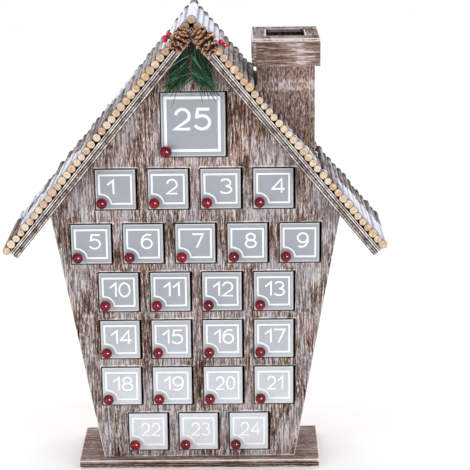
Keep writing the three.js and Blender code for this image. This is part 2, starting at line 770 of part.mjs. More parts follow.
makeHouseBody();
makeRoofBoards();
makeTrays();
OPENINGS.forEach(makeDoor);
makeChimney();
makeTwigs();
makeSprig();

export default house;
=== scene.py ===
"""Dresses a wooden advent calendar, a house with twenty-five numbered doors, for its studio picture.

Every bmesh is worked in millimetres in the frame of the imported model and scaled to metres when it
becomes a piece: +X to the right, +Y away from the viewer, +Z up, origin under the base board.
"""

import json
import logging
import math
from collections.abc import Sequence
from dataclasses import dataclass
from enum import Enum
from functools import cached_property
from typing import ClassVar

import bmesh
import bpy
import numpy as np
from bmesh.types import BMEdge, BMesh, BMVert
from bpy.types import Material, Mesh, Node, NodeSocket, Object
from mathutils import Matrix, Vector, kdtree, noise

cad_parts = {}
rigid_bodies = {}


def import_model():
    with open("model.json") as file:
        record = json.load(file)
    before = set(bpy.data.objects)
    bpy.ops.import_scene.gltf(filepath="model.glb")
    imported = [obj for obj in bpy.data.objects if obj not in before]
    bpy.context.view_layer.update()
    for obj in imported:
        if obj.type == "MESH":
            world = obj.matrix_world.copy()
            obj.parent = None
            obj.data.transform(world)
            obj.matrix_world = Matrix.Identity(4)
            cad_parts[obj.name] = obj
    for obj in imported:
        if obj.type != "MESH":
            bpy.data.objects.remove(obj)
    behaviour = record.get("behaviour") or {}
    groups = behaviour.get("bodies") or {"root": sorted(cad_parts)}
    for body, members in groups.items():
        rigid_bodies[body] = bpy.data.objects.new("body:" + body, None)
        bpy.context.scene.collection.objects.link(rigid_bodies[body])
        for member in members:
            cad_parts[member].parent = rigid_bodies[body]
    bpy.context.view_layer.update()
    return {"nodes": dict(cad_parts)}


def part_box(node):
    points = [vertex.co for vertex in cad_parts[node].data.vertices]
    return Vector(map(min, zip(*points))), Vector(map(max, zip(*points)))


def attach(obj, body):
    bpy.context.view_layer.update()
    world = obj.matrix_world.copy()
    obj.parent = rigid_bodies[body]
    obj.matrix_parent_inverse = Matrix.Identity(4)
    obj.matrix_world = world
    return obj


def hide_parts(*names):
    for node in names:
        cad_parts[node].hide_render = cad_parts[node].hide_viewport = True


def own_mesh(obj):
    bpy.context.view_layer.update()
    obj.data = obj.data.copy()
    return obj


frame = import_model()

LOG = logging.getLogger("advent_house")
MM = 0.001
GOLDEN_TURN = math.pi * (3 - math.sqrt(5))
Color = tuple[float, float, float, float]


class Grain(Enum):
    """Which way the grain of a board runs."""

    UPRIGHT = (0, 0, 1)
    LEVEL = (1, 0, 0)
    DEPTH = (0, 1, 0)

    def drawn(self, share: float) -> tuple[float, ...]:
        """Scale for each axis that draws a pattern out along the grain."""
        return tuple(1 - along * (1 - share) for along in self.value)


class Side(Enum):
    """A side of the roof, seen from the front."""

    LEFT = -1
    RIGHT = 1


@dataclass(frozen=True)
class HouseSizes:
    """Sizes of the house in millimetres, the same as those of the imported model."""

    gap: float = 0.3
    doors_per_row: tuple[int, ...] = (4, 5, 4, 4, 4, 3)
    window: float = 42.8
    window_height: float = 43.0
    column_pitch: float = 52.0
    row_pitch: float = 50.8
    lowest_sill: float = 15.6
    top_rail: float = 13.2
    gable_window: float = 66.1
    gable_rail: float = 10.3
    panel_front: float = -33.3
    pitch: float = math.radians(50.6)
    roof_thickness: float = 9.0
    ridge: float = 460.263
    roof_front: float = -51.3
    roof_depth: float = 105.0
    twig_radius: float = 4.1

    @cached_property
    def cos_pitch(self) -> float:
        """Cosine of the roof's pitch."""
        return math.cos(self.pitch)

    @cached_property
    def sin_pitch(self) -> float:
        """Sine of the roof's pitch."""
        return math.sin(self.pitch)

    @cached_property
    def slope(self) -> float:
        """Length of the roof's upper face, from the ridge down to the eaves."""
        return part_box("roof_board_right")[1].x / MM / self.cos_pitch

    @cached_property
    def roof_back(self) -> float:
        """Y of the roof boards' back edges."""
        return self.roof_front + self.roof_depth

    @cached_property
    def ridge_lift(self) -> float:
        """Height of the ridge twig's middle over the ridge."""
        return (self.twig_radius + self.gap) / self.cos_pitch

    @cached_property
    def chimney(self) -> tuple[float, float, float, float]:
        """The chimney's left, right, front and back faces."""
        low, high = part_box("chimney_left")
        return low.x / MM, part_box("chimney_right")[1].x / MM, low.y / MM, high.y / MM

    def over_roof(self, side: Side, down: float, out: float) -> tuple[float, float]:
        """A place over a roof board.

        Args:
            side: The side of the roof.
            down: Distance down the slope from the ridge.
            out: Distance out from the board's upper face.

        Returns:
            X and Z in millimetres.
        """
        x = side.value * (down * self.cos_pitch + out * self.sin_pitch)
        return x, self.ridge - down * self.sin_pitch + out * self.cos_pitch


HOUSE = HouseSizes()


def wobble(index: int, seed: int) -> float:
    """A repeatable irregularity between -1 and 1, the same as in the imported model."""
    value = math.sin(index * 12.9898 + seed * 78.233) * 43758.5453
    return 2 * (value - math.floor(value)) - 1


def smooth(value: float, low: float, high: float) -> float:
    """Rises softly from 0 at low to 1 at high."""
    share = min(1.0, max(0.0, (value - low) / (high - low)))
    return share * share * (3 - 2 * share)


def paint(red: float, green: float, blue: float) -> Color:
    """The linear colour of a display colour.

    Args:
        red: Red as shown, 0 to 255.
        green: Green as shown, 0 to 255.
        blue: Blue as shown, 0 to 255.

    Returns:
        Linear red, green, blue and 1.
    """
    def linear(shown: float) -> float:
        """One channel of the colour."""
        share = shown / 255
        return share / 12.92 if share <= 0.04045 else ((share + 0.055) / 1.055) ** 2.4
    return linear(red), linear(green), linear(blue), 1.0


class Recipe:
    """Writes one node material, step by step."""

    def __init__(self, name: str, roughness: float = 0.8, specular: float = 0.35) -> None:
        """Starts a material.

        Args:
            name: The material's name.
            roughness: Roughness where nothing is linked to it.
            specular: Specular level of the whole surface.
        """
        self.material = bpy.data.materials.new(name)
        self.material.use_nodes = True
        self.tree = self.material.node_tree
        self.shader = self.tree.nodes["Principled BSDF"]
        self.shader.inputs["Roughness"].default_value = roughness
        self.shader.inputs["Specular IOR Level"].default_value = specular

    def node(self, kind: str, **settings: object) -> Node:
        """Adds a node and sets its properties.

        Args:
            kind: The node's type.
            settings: Values of its properties.

        Returns:
            The node.
        """
        made = self.tree.nodes.new(kind)
        for key, value in settings.items():
            setattr(made, key, value)
        return made

    def feed(self, socket: NodeSocket, value: object) -> None:
        """Links a socket to another, or gives it a value."""
        if isinstance(value, NodeSocket):
            self.tree.links.new(value, socket)
        else:
            socket.default_value = value

    def coordinate(self, axis: str) -> NodeSocket:
        """One of the Object coordinates, in metres."""
        split = self.node("ShaderNodeSeparateXYZ")
        self.feed(split.inputs[0], self.node("ShaderNodeTexCoord").outputs["Object"])
        return split.outputs[axis]

    def noise(self, shift: float, scale: float, detail: float = 4, rough: float = 0.6,
              distortion: float = 0, stretch: Sequence[float] = (1, 1, 1)) -> NodeSocket:
        """Noise between 0 and 1 that lies fast on the object.

        Args:
            shift: A number that sets one pattern apart from another.
            scale: The number of features in a metre.
            detail: How many finer patterns are added.
            rough: How strong these are.
            distortion: How far the pattern is bent.
            stretch: Factor of the coordinates for each axis, small along the grain.

        Returns:
            The socket of the value.
        """
        mapping = self.node("ShaderNodeMapping")
        self.feed(mapping.inputs["Vector"], self.node("ShaderNodeTexCoord").outputs["Object"])
        mapping.inputs["Scale"].default_value = stretch
        mapping.inputs["Location"].default_value = (shift, shift * 0.7, shift * 1.3)
        made = self.node("ShaderNodeTexNoise")
        self.feed(made.inputs["Vector"], mapping.outputs["Vector"])
        for key, value in (("Scale", scale), ("Detail", detail), ("Roughness", rough),
                           ("Distortion", distortion)):
            made.inputs[key].default_value = value
        return made.outputs[0]

    def attribute(self, name: str) -> NodeSocket:
        """The number that the mesh holds under a name."""
        return self.node("ShaderNodeAttribute", attribute_name=name).outputs["Fac"]

    def math(self, operation: str, first: object, second: object = 0.0,
             clamp: bool = False) -> NodeSocket:
        """One step of arithmetic."""
        made = self.node("ShaderNodeMath", operation=operation, use_clamp=clamp)
        self.feed(made.inputs[0], first)
        self.feed(made.inputs[1], second)
        return made.outputs[0]

    def blend(self, weighted: Sequence[tuple[object, float]]) -> NodeSocket:
        """The weighted sum of several sockets."""
        total: object = 0.0
        for socket, weight in weighted:
            total = self.math("ADD", self.math("MULTIPLY", socket, weight), total)
        return total

    def band(self, value: object, low: float, high: float, bottom: float = 0,
             top: float = 1) -> NodeSocket:
        """Rises softly from bottom to top while the value goes from low to high."""
        made = self.node("ShaderNodeMapRange", interpolation_type="SMOOTHSTEP")
        self.feed(made.inputs["Value"], value)
        for key, number in (("From Min", low), ("From Max", high), ("To Min", bottom), ("To Max", top)):
            made.inputs[key].default_value = number
        return made.outputs["Result"]

    def ramp(self, value: object, stops: Sequence[tuple[float, Color]],
             interpolation: str = "LINEAR") -> NodeSocket:
        """Colours along a value.

        Args:
            value: The socket that runs along the ramp.
            stops: Place and colour of each stop, in order.
            interpolation: How the ramp goes from stop to stop.

        Returns:
            The colour socket.
        """
        made = self.node("ShaderNodeValToRGB")
        self.feed(made.inputs[0], value)
        band = made.color_ramp
        band.interpolation = interpolation
        while len(band.elements) < len(stops):
            band.elements.new(1.0)
        for element, (place, color) in zip(band.elements, stops):
            element.position = place
            element.color = color
        return made.outputs[0]

    def mix(self, factor: object, first: object, second: object,
            mode: str = "MIX") -> NodeSocket:
        """Mixes two colours."""
        made = self.node("ShaderNodeMix", data_type="RGBA", blend_type=mode)
        self.feed(made.inputs[0], factor)
        self.feed(made.inputs[6], first)
        self.feed(made.inputs[7], second)
        return made.outputs[2]

    def relief(self, height: NodeSocket, depth: float, strength: float = 0.6) -> None:
        """Gives the surface relief.

        Args:
            height: The socket with the height.
            depth: Depth in millimetres for a height of 1.
            strength: Strength of the relief.
        """
        bump = self.node("ShaderNodeBump")
        bump.inputs["Strength"].default_value = strength
        bump.inputs["Distance"].default_value = depth * MM
        self.feed(bump.inputs["Height"], height)
        self.feed(self.shader.inputs["Normal"], bump.outputs["Normal"])

    def color(self, socket: NodeSocket) -> None:
        """Sets the base colour."""
        self.feed(self.shader.inputs["Base Color"], socket)

    def roughness(self, socket: NodeSocket) -> None:
        """Sets the roughness."""
        self.feed(self.shader.inputs["Roughness"], socket)


@dataclass(frozen=True)
class WeatheredWood:
    """Brown board with streaks of worn whitewash, cracks and scuffed edges.

    Four numbers of the mesh steer it, all 0 where a mesh doesn't hold them: edge_gap, the distance to the
    nearest edge; lintel, 100 less the distance to the upper edge of an opening; gap_shade, 1 on the wall of
    a cut, which is painted near black as shade; and wash, above 0 where more whitewash is left and below 0
    where less is.

    Attributes:
        pale: How far all tones move towards white.
        contrast: How far dark and light tones lie apart.
        lilac: Weight of the cool grey patches.
        scuff: Weight of the worn, pale edges.
        reach: How far in the edges are worn.
        short: Share of short flecks beside the long streaks.
        cloudy: Weight of the broad patches.
        glue_lines: Heights of the dark lines between plies.
        frost: Height and reach of a band of whitewash.
        cool_below: Height under which the board is a little bluer.
    """

    name: str
    grain: Grain
    pale: float = 0.0
    contrast: float = 1.0
    lilac: float = 0.25
    scuff: float = 0.0
    reach: float = 0.8
    short: float = 0.32
    cloudy: float = 0.24
    glue_lines: tuple[float, ...] = ()
    frost: tuple[float, float] | None = None
    cool_below: float | None = None

    def at_height(self, recipe: Recipe, middle: float, reach: float) -> NodeSocket:
        """Rises from 0 to 1 near a height in millimetres."""
        away = recipe.math("ABSOLUTE", recipe.math("SUBTRACT", recipe.coordinate("Z"), middle * MM))
        return recipe.band(away, 0.4 * reach * MM, reach * MM, 1, 0)

    def below(self, recipe: Recipe, height: float) -> NodeSocket:
        """Falls from 1 to 0 over the 70 millimetres up to a height."""
        return recipe.band(recipe.coordinate("Z"), (height - 70) * MM, height * MM, 1, 0)

    def make(self) -> Material:
        """Writes the material."""
        recipe = Recipe(self.name, roughness=0.82, specular=0.2)
        fleck = recipe.noise(1.3, 900, 3, 0.6, stretch=self.grain.drawn(0.28))
        streak = recipe.noise(4.1, 600, 5, 0.68, 0.2, stretch=self.grain.drawn(0.07))
        patch = recipe.noise(2.2, 46, 4, 0.6, stretch=self.grain.drawn(0.45))
        warm = recipe.noise(5.9, 120, 4, 0.65, stretch=self.grain.drawn(0.3))
        crack = recipe.noise(6.4, 560, 4, 0.7, 0.5, stretch=self.grain.drawn(0.05))
        parts = [(fleck, self.short), (streak, 1 - self.short), (patch, self.cloudy),
                 (recipe.math("MULTIPLY", recipe.attribute("wash"), patch), 0.045)]
        if self.frost:
            parts.append((recipe.math("MULTIPLY", self.at_height(recipe, *self.frost), patch), 0.12))
        shade = recipe.blend(parts)
        tones = ((-0.085, (44, 30, 24)), (-0.038, (94, 71, 59)), (0, (133, 109, 98)),
                 (0.038, (176, 160, 156)), (0.085, (230, 225, 228)))
        middle = 0.5 + 0.5 * self.cloudy - self.pale
        wood = recipe.ramp(shade, [(middle + step / self.contrast, paint(*shown)) for step, shown in tones])
        toasted = recipe.mix(recipe.band(warm, 0.50, 0.62, 0, 0.7), wood, paint(255, 220, 194), "MULTIPLY")
        cooled = recipe.mix(recipe.band(patch, 0.42, 0.60, 0, self.lilac), toasted, paint(150, 141, 148))
        if self.cool_below:
            low = self.below(recipe, self.cool_below)
            cooled = recipe.mix(low, cooled, paint(245, 250, 253), "MULTIPLY")
        split: NodeSocket = recipe.band(crack, 0.60, 0.67, 0, 0.85)
        for height in self.glue_lines:
            glue = recipe.math("MULTIPLY", self.at_height(recipe, height, 0.8), recipe.band(fleck, 0.3, 0.5))
            split = recipe.math("MAXIMUM", split, glue)
        cracked = recipe.mix(split, cooled, paint(32, 22, 18))
        gap = recipe.attribute("edge_gap")
        worn = recipe.blend([(gap, 1 / self.reach), (streak, -1.2), (patch, -0.8)])
        rubbed = recipe.mix(recipe.band(worn, -0.6, -0.1, self.scuff, 0), cracked, paint(232, 223, 218))
        lintel = recipe.blend([(recipe.attribute("lintel"), 1.0), (fleck, 1.6), (patch, 5)])
        patchy = recipe.band(warm, 0.44, 0.58, 0.3, 0.9)
        chipped = recipe.math("MULTIPLY", recipe.band(lintel, 101.9, 102.7), patchy)
        lit = recipe.mix(chipped, rubbed, paint(234, 227, 223))
        # Walls of cuts and holes are painted near black as shade.
        recipe.color(recipe.mix(recipe.attribute("gap_shade"), lit, paint(30, 22, 19)))
        recipe.relief(recipe.blend([(fleck, 0.5), (streak, 0.5), (split, -0.9)]), 0.4, 0.6)
        recipe.roughness(recipe.band(patch, 0.3, 0.7, 0.75, 0.9))
        return recipe.material


@dataclass(frozen=True)
class PlyFace:
    """The plain face of thin plywood."""

    name: str
    grain: Grain
    dark: Color = paint(128, 103, 84)
    pale: Color = paint(182, 157, 132)

    def make(self) -> Material:
        """Writes the material."""
        recipe = Recipe(self.name, roughness=0.78, specular=0.25)
        fine = recipe.noise(2.3, 1500, 3, 0.6, stretch=self.grain.drawn(0.1))
        wave = recipe.noise(5.1, 190, 3, 0.55, 1.2, stretch=self.grain.drawn(0.1))
        cloud = recipe.noise(3.3, 26, 2, 0.5)
        shade = recipe.blend([(wave, 0.5), (fine, 0.35), (cloud, 0.25)])
        recipe.color(recipe.ramp(shade, [(0.38, self.dark), (0.68, self.pale)]))
        recipe.relief(recipe.blend([(fine, 0.6), (wave, 0.4)]), 0.2, 0.5)
        return recipe.material


class PlyTone(Enum):
    """The colours of a plywood's layers, dark and light, seen at its edge."""

    SKIN = ((60, 46, 40), (120, 104, 96))
    WHITE = ((150, 132, 122), (252, 246, 242))
    GLUE = ((16, 10, 9), (50, 36, 30))
    HEART = ((62, 40, 30), (186, 174, 178))
    PALE = ((128, 110, 100), (250, 243, 238))


@dataclass(frozen=True)
class PlyLayer:
    """One layer of a plywood, in one tone."""

    tone: PlyTone

    def make(self) -> Material:
        """Writes the material."""
        recipe = Recipe(f"ply_{self.tone.name.lower()}", roughness=0.85, specular=0.2)
        grit = recipe.noise(1.7, 620, 4, 0.7)
        blotch = recipe.noise(6.1, 150, 3, 0.6)
        dark, light = (paint(*shown) for shown in self.tone.value)
        shade = recipe.blend([(grit, 0.55), (blotch, 0.55)])
        recipe.color(recipe.ramp(shade, [(0.44, dark), (0.64, light)]))
        recipe.relief(grit, 0.3, 0.6)
        return recipe.material


@dataclass(frozen=True)
class DoorPaint:
    """Pale grey door paint with painted light, lighter towards the foot of the house, between two heights."""

    name: str = "door_paint"
    lightest_at: float = 30.0
    darkest_at: float = 210.0

    def make(self) -> Material:
        """Writes the material."""
        recipe = Recipe(self.name, roughness=0.62, specular=0.3)
        # Painted light: the grey gets lighter towards the foot of the house, as the floor's bounce would
        # light it.
        height = recipe.band(recipe.coordinate("Z"), self.lightest_at * MM, self.darkest_at * MM)
        brush = recipe.noise(3.1, 900, 3, 0.6, stretch=(0.12, 1, 1))
        cloud = recipe.noise(7.7, 60, 3, 0.6)
        ground = recipe.mix(height, paint(219, 224, 230), paint(164, 169, 177))
        shade = recipe.blend([(brush, 0.35), (cloud, 0.65)])
        tinted = recipe.mix(recipe.band(shade, 0.35, 0.65, 0, 0.16), ground, paint(146, 150, 158))
        gap = recipe.attribute("edge_gap")
        # Painted highlight: a thin pale line along the leaf's edges.
        rim = recipe.band(recipe.math("ADD", gap, recipe.math("MULTIPLY", cloud, -1.2)), 0.2, 1.3, 0.62, 0)
        edge_highlighted = recipe.mix(rim, tinted, paint(228, 229, 230))
        # Painted shade: the leaf's outermost edge and its sides inside the gap darken to a near-black line.
        edge_shaded = recipe.mix(recipe.band(gap, 0.2, 0.5, 0.85, 0), edge_highlighted, paint(40, 34, 33))
        recipe.color(recipe.mix(recipe.attribute("gap_shade"), edge_shaded, paint(30, 24, 23)))
        recipe.relief(brush, 0.06, 0.4)
        return recipe.material


@dataclass(frozen=True)
class WhiteLine:
    """White paint of the numbers and frames."""

    name: str = "white_line"

    def make(self) -> Material:
        """Writes the material."""
        recipe = Recipe(self.name, roughness=0.55, specular=0.3)
        grit = recipe.noise(2.9, 1600, 2, 0.5)
        recipe.color(recipe.ramp(grit, [(0.3, paint(244, 247, 250)), (0.7, paint(254, 255, 255))]))
        recipe.relief(grit, 0.04, 0.3)
        return recipe.material


@dataclass(frozen=True)
class RedLacquer:
    """Dark red gloss of the beads and berries."""

    name: str
    deep: Color = paint(86, 0, 13)
    bright: Color = paint(146, 0, 30)

    def make(self) -> Material:
        """Writes the material."""
        recipe = Recipe(self.name, roughness=0.14, specular=0.1)
        recipe.shader.inputs["Coat Weight"].default_value = 0.45
        recipe.shader.inputs["Coat Roughness"].default_value = 0.12
        cloud = recipe.noise(1.9, 120, 2, 0.5)
        recipe.color(recipe.ramp(cloud, [(0.35, self.deep), (0.7, self.bright)]))
        recipe.roughness(recipe.band(cloud, 0.3, 0.7, 0.1, 0.2))
        return recipe.material


@dataclass(frozen=True)
class TwigBark:
    """Grey-brown bark, cracked along the twig, with painted shade on its flanks and at its back end."""

    name: str = "twig_bark"
    dark_from: float = 47.0
    dark_to: float = 57.0

    def make(self) -> Material:
        """Writes the material."""
        recipe = Recipe(self.name, roughness=0.88, specular=0.2)
        ridge = recipe.noise(1.1, 700, 5, 0.7, 0.5, stretch=Grain.DEPTH.drawn(0.06))
        blotch = recipe.noise(4.9, 130, 4, 0.65, stretch=(1, 0.4, 1))
        speck = recipe.noise(9.2, 900, 2, 0.5, stretch=(1, 0.6, 1))
        tone = recipe.attribute("tone")
        crest = recipe.attribute("crest")
        # Painted shade: the crest, the height around the twig, lightens each twig's top and darkens its
        # flanks.
        shade = recipe.blend([(ridge, 0.7), (blotch, 0.4), (tone, 0.12), (crest, 0.3)])
        bark = recipe.ramp(shade, [
            (0.66, paint(28, 21, 20)), (0.78, paint(78, 66, 62)),
            (0.86, paint(120, 109, 107)), (0.96, paint(180, 172, 176)),
        ])
        lichen = recipe.band(speck, 0.62, 0.7, 0, 0.7)
        pale = recipe.mix(lichen, bark, paint(200, 194, 190))
        back = recipe.math("ADD", recipe.coordinate("Y"), recipe.math("MULTIPLY", blotch, 0.02))
        shadow = recipe.band(back, self.dark_from * MM, self.dark_to * MM, 0, 0.72)
        recipe.color(recipe.mix(shadow, pale, paint(40, 36, 38)))
        recipe.relief(recipe.blend([(ridge, 1.0), (speck, 0.3)]), 0.5, 0.7)
        return recipe.material


@dataclass(frozen=True)
class TwigEnd:
    """The cut end of a twig: pale wood with rings, a pith and a rim of bark."""

    name: str = "twig_end"

    def make(self) -> Material:
        """Writes the material."""
        recipe = Recipe(self.name, roughness=0.8, specular=0.2)
        core = recipe.attribute("core")
        tone = recipe.attribute("tone")
        grit = recipe.noise(2.6, 900, 4, 0.65)
        cloud = recipe.noise(5.2, 210, 3, 0.6)
        uneven = recipe.blend([(core, 1.0), (cloud, 0.12)])
        wave = recipe.math("SINE", recipe.math("MULTIPLY", uneven, 40))
        wood = recipe.ramp(tone, [
            (0.0, paint(246, 232, 214)), (0.5, paint(230, 207, 178)),
            (0.86, paint(216, 185, 152)), (1.0, paint(204, 152, 114)),
        ])
        soft = recipe.mix(recipe.band(grit, 0.35, 0.65, 0, 0.6), wood, paint(178, 148, 120))
        lit = recipe.mix(recipe.band(cloud, 0.48, 0.66, 0, 0.6), soft, paint(250, 238, 220))
        ringed = recipe.mix(recipe.band(wave, 0.1, 1, 0, 0.3), lit, paint(156, 116, 84))
        pith = recipe.band(uneven, 0.13, 0.26, 0.4, 0)
        cored = recipe.mix(pith, ringed, paint(140, 94, 62))
        rim = recipe.band(uneven, 0.94, 1.0)
        recipe.color(recipe.mix(rim, cored, paint(84, 64, 54)))
        recipe.relief(recipe.blend([(grit, 0.6), (wave, 0.1)]), 0.3, 0.6)
        return recipe.material


@dataclass(frozen=True)
class SnowPaint:
    """Thick white paint that looks like snow, with bluish grey painted shade deep in the valleys."""

    name: str = "snow_paint"

    def make(self) -> Material:
        """Writes the material."""
        recipe = Recipe(self.name, roughness=0.7, specular=0.3)
        recipe.shader.inputs["Subsurface Weight"].default_value = 0.15
        recipe.shader.inputs["Subsurface Scale"].default_value = 0.002
        lump = recipe.noise(1.6, 160, 4, 0.6, stretch=(1, 0.5, 1))
        grit = recipe.noise(3.8, 900, 3, 0.6)
        shade = recipe.blend([(lump, 0.7), (grit, 0.3)])
        # Painted shade: deeper in a valley the snow turns bluish grey.
        sunk = recipe.attribute("valley")
        depth = recipe.blend([(shade, 0.5), (sunk, -0.55)])
        recipe.color(recipe.ramp(depth, [
            (0.0, paint(150, 153, 170)), (0.14, paint(196, 199, 213)), (0.30, paint(232, 234, 243)),
        ]))
        recipe.relief(shade, 0.6, 0.6)
        return recipe.material


@dataclass(frozen=True)
class ConeScaleFinish:
    """Brown of a pine cone's scales, paler at their tips; their near-black roots are partly painted shade."""

    name: str = "cone_scale"

    def make(self) -> Material:
        """Writes the material."""
        recipe = Recipe(self.name, roughness=0.7, specular=0.3)
        tip = recipe.attribute("tip")
        tone = recipe.attribute("tone")
        grit = recipe.noise(2.4, 700, 4, 0.65)
        # The ramp's near-black foot is partly the scales' own dark brown and partly painted shade between
        # them.
        place = recipe.blend([(tip, 0.75), (grit, 0.4), (tone, 0.12)])
        scale = recipe.ramp(place, [
            (0.46, paint(14, 7, 5)), (0.70, paint(78, 46, 31)),
            (0.88, paint(150, 102, 75)), (1.0, paint(212, 168, 140)),
        ])
        speck = recipe.noise(8.8, 330, 2, 0.5)
        resin = recipe.math("MULTIPLY", recipe.band(speck, 0.60, 0.66), recipe.band(tip, 0.8, 1.0, 0, 0.8))
        recipe.color(recipe.mix(resin, scale, paint(236, 218, 200)))
        recipe.relief(grit, 0.3, 0.6)
        return recipe.material


@dataclass(frozen=True)
class NeedleGreen:
    """Dark green of the needles, each a little different."""

    name: str = "needle_green"

    def make(self) -> Material:
        """Writes the material."""
        recipe = Recipe(self.name, roughness=0.5, specular=0.35)
        tone = recipe.attribute("tone")
        tip = recipe.attribute("tip")
        grit = recipe.noise(3.4, 420, 3, 0.6)
        shade = recipe.blend([(tone, 0.6), (grit, 0.3), (tip, 0.25)])
        recipe.color(recipe.ramp(shade, [
            (0.2, paint(0, 18, 9)), (0.5, paint(5, 46, 26)),
            (0.74, paint(22, 88, 52)), (0.95, paint(128, 178, 140)),
        ]))
        recipe.relief(grit, 0.05, 0.3)
        return recipe.material


@dataclass(frozen=True)
class PinSteel:
    """Drawn steel of the hinge pins."""

    name: str = "pin_steel"

    def make(self) -> Material:
        """Writes the material."""
        recipe = Recipe(self.name, roughness=0.35, specular=0.5)
        recipe.shader.inputs["Metallic"].default_value = 1.0
        drawn = recipe.noise(1.2, 3000, 3, 0.6, stretch=(1, 1, 0.05))
        recipe.color(recipe.ramp(drawn, [(0.3, paint(120, 120, 122)), (0.7, paint(190, 190, 192))]))
        recipe.relief(drawn, 0.02, 0.4)
        return recipe.material


@dataclass(frozen=True)
class StemBark:
    """Brown wire and twiglet that carry the berries and needles."""

    name: str = "stem_bark"

    def make(self) -> Material:
        """Writes the material."""
        recipe = Recipe(self.name, roughness=0.8, specular=0.2)
        grit = recipe.noise(1.8, 900, 4, 0.65, stretch=(1, 1, 0.3))
        recipe.color(recipe.ramp(grit, [(0.3, paint(48, 32, 24)), (0.7, paint(112, 84, 66))]))
        recipe.relief(grit, 0.2, 0.6)
        return recipe.material


@dataclass(frozen=True)
class StudioPaper:
    """Pale paper under the house."""

    name: str = "studio_paper"

    def make(self) -> Material:
        """Writes the material."""
        recipe = Recipe(self.name, roughness=0.95, specular=0.1)
        grit = recipe.noise(0.4, 14, 2, 0.5)
        recipe.color(recipe.ramp(grit, [(0.3, paint(246, 246, 246)), (0.7, paint(251, 251, 251))]))
        return recipe.material


class Palette:
    """Every finish of the house, made once."""

    def __init__(self) -> None:
        """Makes the materials."""
        self.panel = WeatheredWood(
            "panel_wood", Grain.UPRIGHT, pale=0.016, lilac=0.35, scuff=0.9, cool_below=340).make()
        self.upright = WeatheredWood("upright_wood", Grain.UPRIGHT, pale=0.008).make()
        self.base = WeatheredWood(
            "base_wood", Grain.LEVEL, pale=0.001, contrast=0.5, lilac=0.15, scuff=1.0, reach=1.5,
            glue_lines=(5.3, 3.2)).make()
        self.chimney = WeatheredWood(
            "chimney_wood", Grain.UPRIGHT, contrast=0.42, lilac=0.0, scuff=0.6, reach=0.6, short=0.72,
            cloudy=0.1, frost=(398, 8)).make()
        self.level = WeatheredWood(
            "level_wood", Grain.LEVEL, pale=-0.008, contrast=0.5, lilac=0.1, scuff=0.5, reach=0.5,
            short=0.2).make()
        self.depth = WeatheredWood("depth_wood", Grain.DEPTH, lilac=0.8).make()
        self.cap = WeatheredWood(
            "cap_wood", Grain.DEPTH, pale=-0.018, contrast=0.7, lilac=0.8, scuff=0.95, reach=1.8,
            short=0.3).make()
        self.back = PlyFace("back_ply", Grain.UPRIGHT).make()
        self.tray = PlyFace("tray_ply", Grain.DEPTH, paint(164, 138, 112), paint(206, 182, 154)).make()
        self.plies = {tone: PlyLayer(tone).make() for tone in PlyTone}
        self.under_roof = PlyFace("roof_ply", Grain.DEPTH, paint(92, 74, 64), paint(150, 128, 112)).make()
        self.door = DoorPaint().make()
        self.line = WhiteLine().make()
        self.bead = RedLacquer("bead_red").make()
        self.berry = RedLacquer("berry_red", paint(184, 8, 44), paint(222, 24, 66)).make()
        self.bark = TwigBark().make()
        self.end = TwigEnd().make()
        self.snow = SnowPaint().make()
        self.scale = ConeScaleFinish().make()
        self.needle = NeedleGreen().make()
        self.steel = PinSteel().make()
        self.stem = StemBark().make()
        self.paper = StudioPaper().make()


@dataclass
class Piece:
    """A finished piece: what it is called, what it rides on and what it stands for."""

    name: str
    finishes: Sequence[Material]
    body: str = "house"
    replaces: Sequence[str] = ()
    slot: str | None = None
    smooth_angle: float = 35.0

    def add(self, bm: BMesh,
            numbers: dict[str, Sequence[float]] | None = None) -> Object:
        """Turns a bmesh in millimetres into the piece.

        Args:
            bm: The shape, which is freed.
            numbers: A number for each vertex, by attribute name.

        Returns:
            The piece's object.
        """
        bm.transform(Matrix.Scale(MM, 4))
        mesh = as_mesh(bm, self.name)
        for finish in self.finishes:
            mesh.materials.append(finish)
        for key, values in (numbers or {}).items():
            layer = mesh.attributes.new(key, "FLOAT", "POINT")
            layer.data.foreach_set("value", np.asarray(values, dtype=np.float32))
        mesh.shade_smooth()
        mesh.set_sharp_from_angle(angle=math.radians(self.smooth_angle))
        made = bpy.data.objects.new(self.name, mesh)
        bpy.context.scene.collection.objects.link(made)
        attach(made, self.body)
        if self.replaces:
            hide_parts(*self.replaces)
        LOG.info("%s: %d faces on %s", self.name, len(mesh.polygons), self.body)
        return made


def node_copy(name: str) -> BMesh:
    """A merged copy of a CAD node in millimetres, with its flat faces whole.

    Args:
        name: The node.

    Returns:
        The shape.
    """
    bm = bmesh.new()
    bm.from_mesh(frame["nodes"][name].data)
    bm.transform(Matrix.Scale(1 / MM, 4))
    bmesh.ops.remove_doubles(bm, verts=bm.verts, dist=0.005)
    bmesh.ops.dissolve_limit(bm, angle_limit=math.radians(0.5), verts=bm.verts, edges=bm.edges)
    return bm


def cut_across(bm: BMesh, axis: int, places: Sequence[float]) -> None:
    """Cuts the faces of a shape along planes across an axis.

    Args:
        bm: The shape.
        axis: 0, 1 or 2 for X, Y or Z.
        places: Where each plane stands on the axis.
    """
    normal = Vector((0, 0, 0))
    normal[axis] = 1
    for place in places:
        geometry = bm.verts[:] + bm.edges[:] + bm.faces[:]
        bmesh.ops.bisect_plane(bm, geom=geometry, dist=1e-4, plane_co=normal * place, plane_no=normal)


def outward(bm: BMesh) -> None:
    """Turns all faces of a shape to point outwards."""
    bmesh.ops.recalc_face_normals(bm, faces=bm.faces)


def as_mesh(bm: BMesh, name: str) -> Mesh:
    """The mesh of a bmesh, which is freed."""
    mesh = bpy.data.meshes.new(name)
    bm.to_mesh(mesh)
    bm.free()
    return mesh


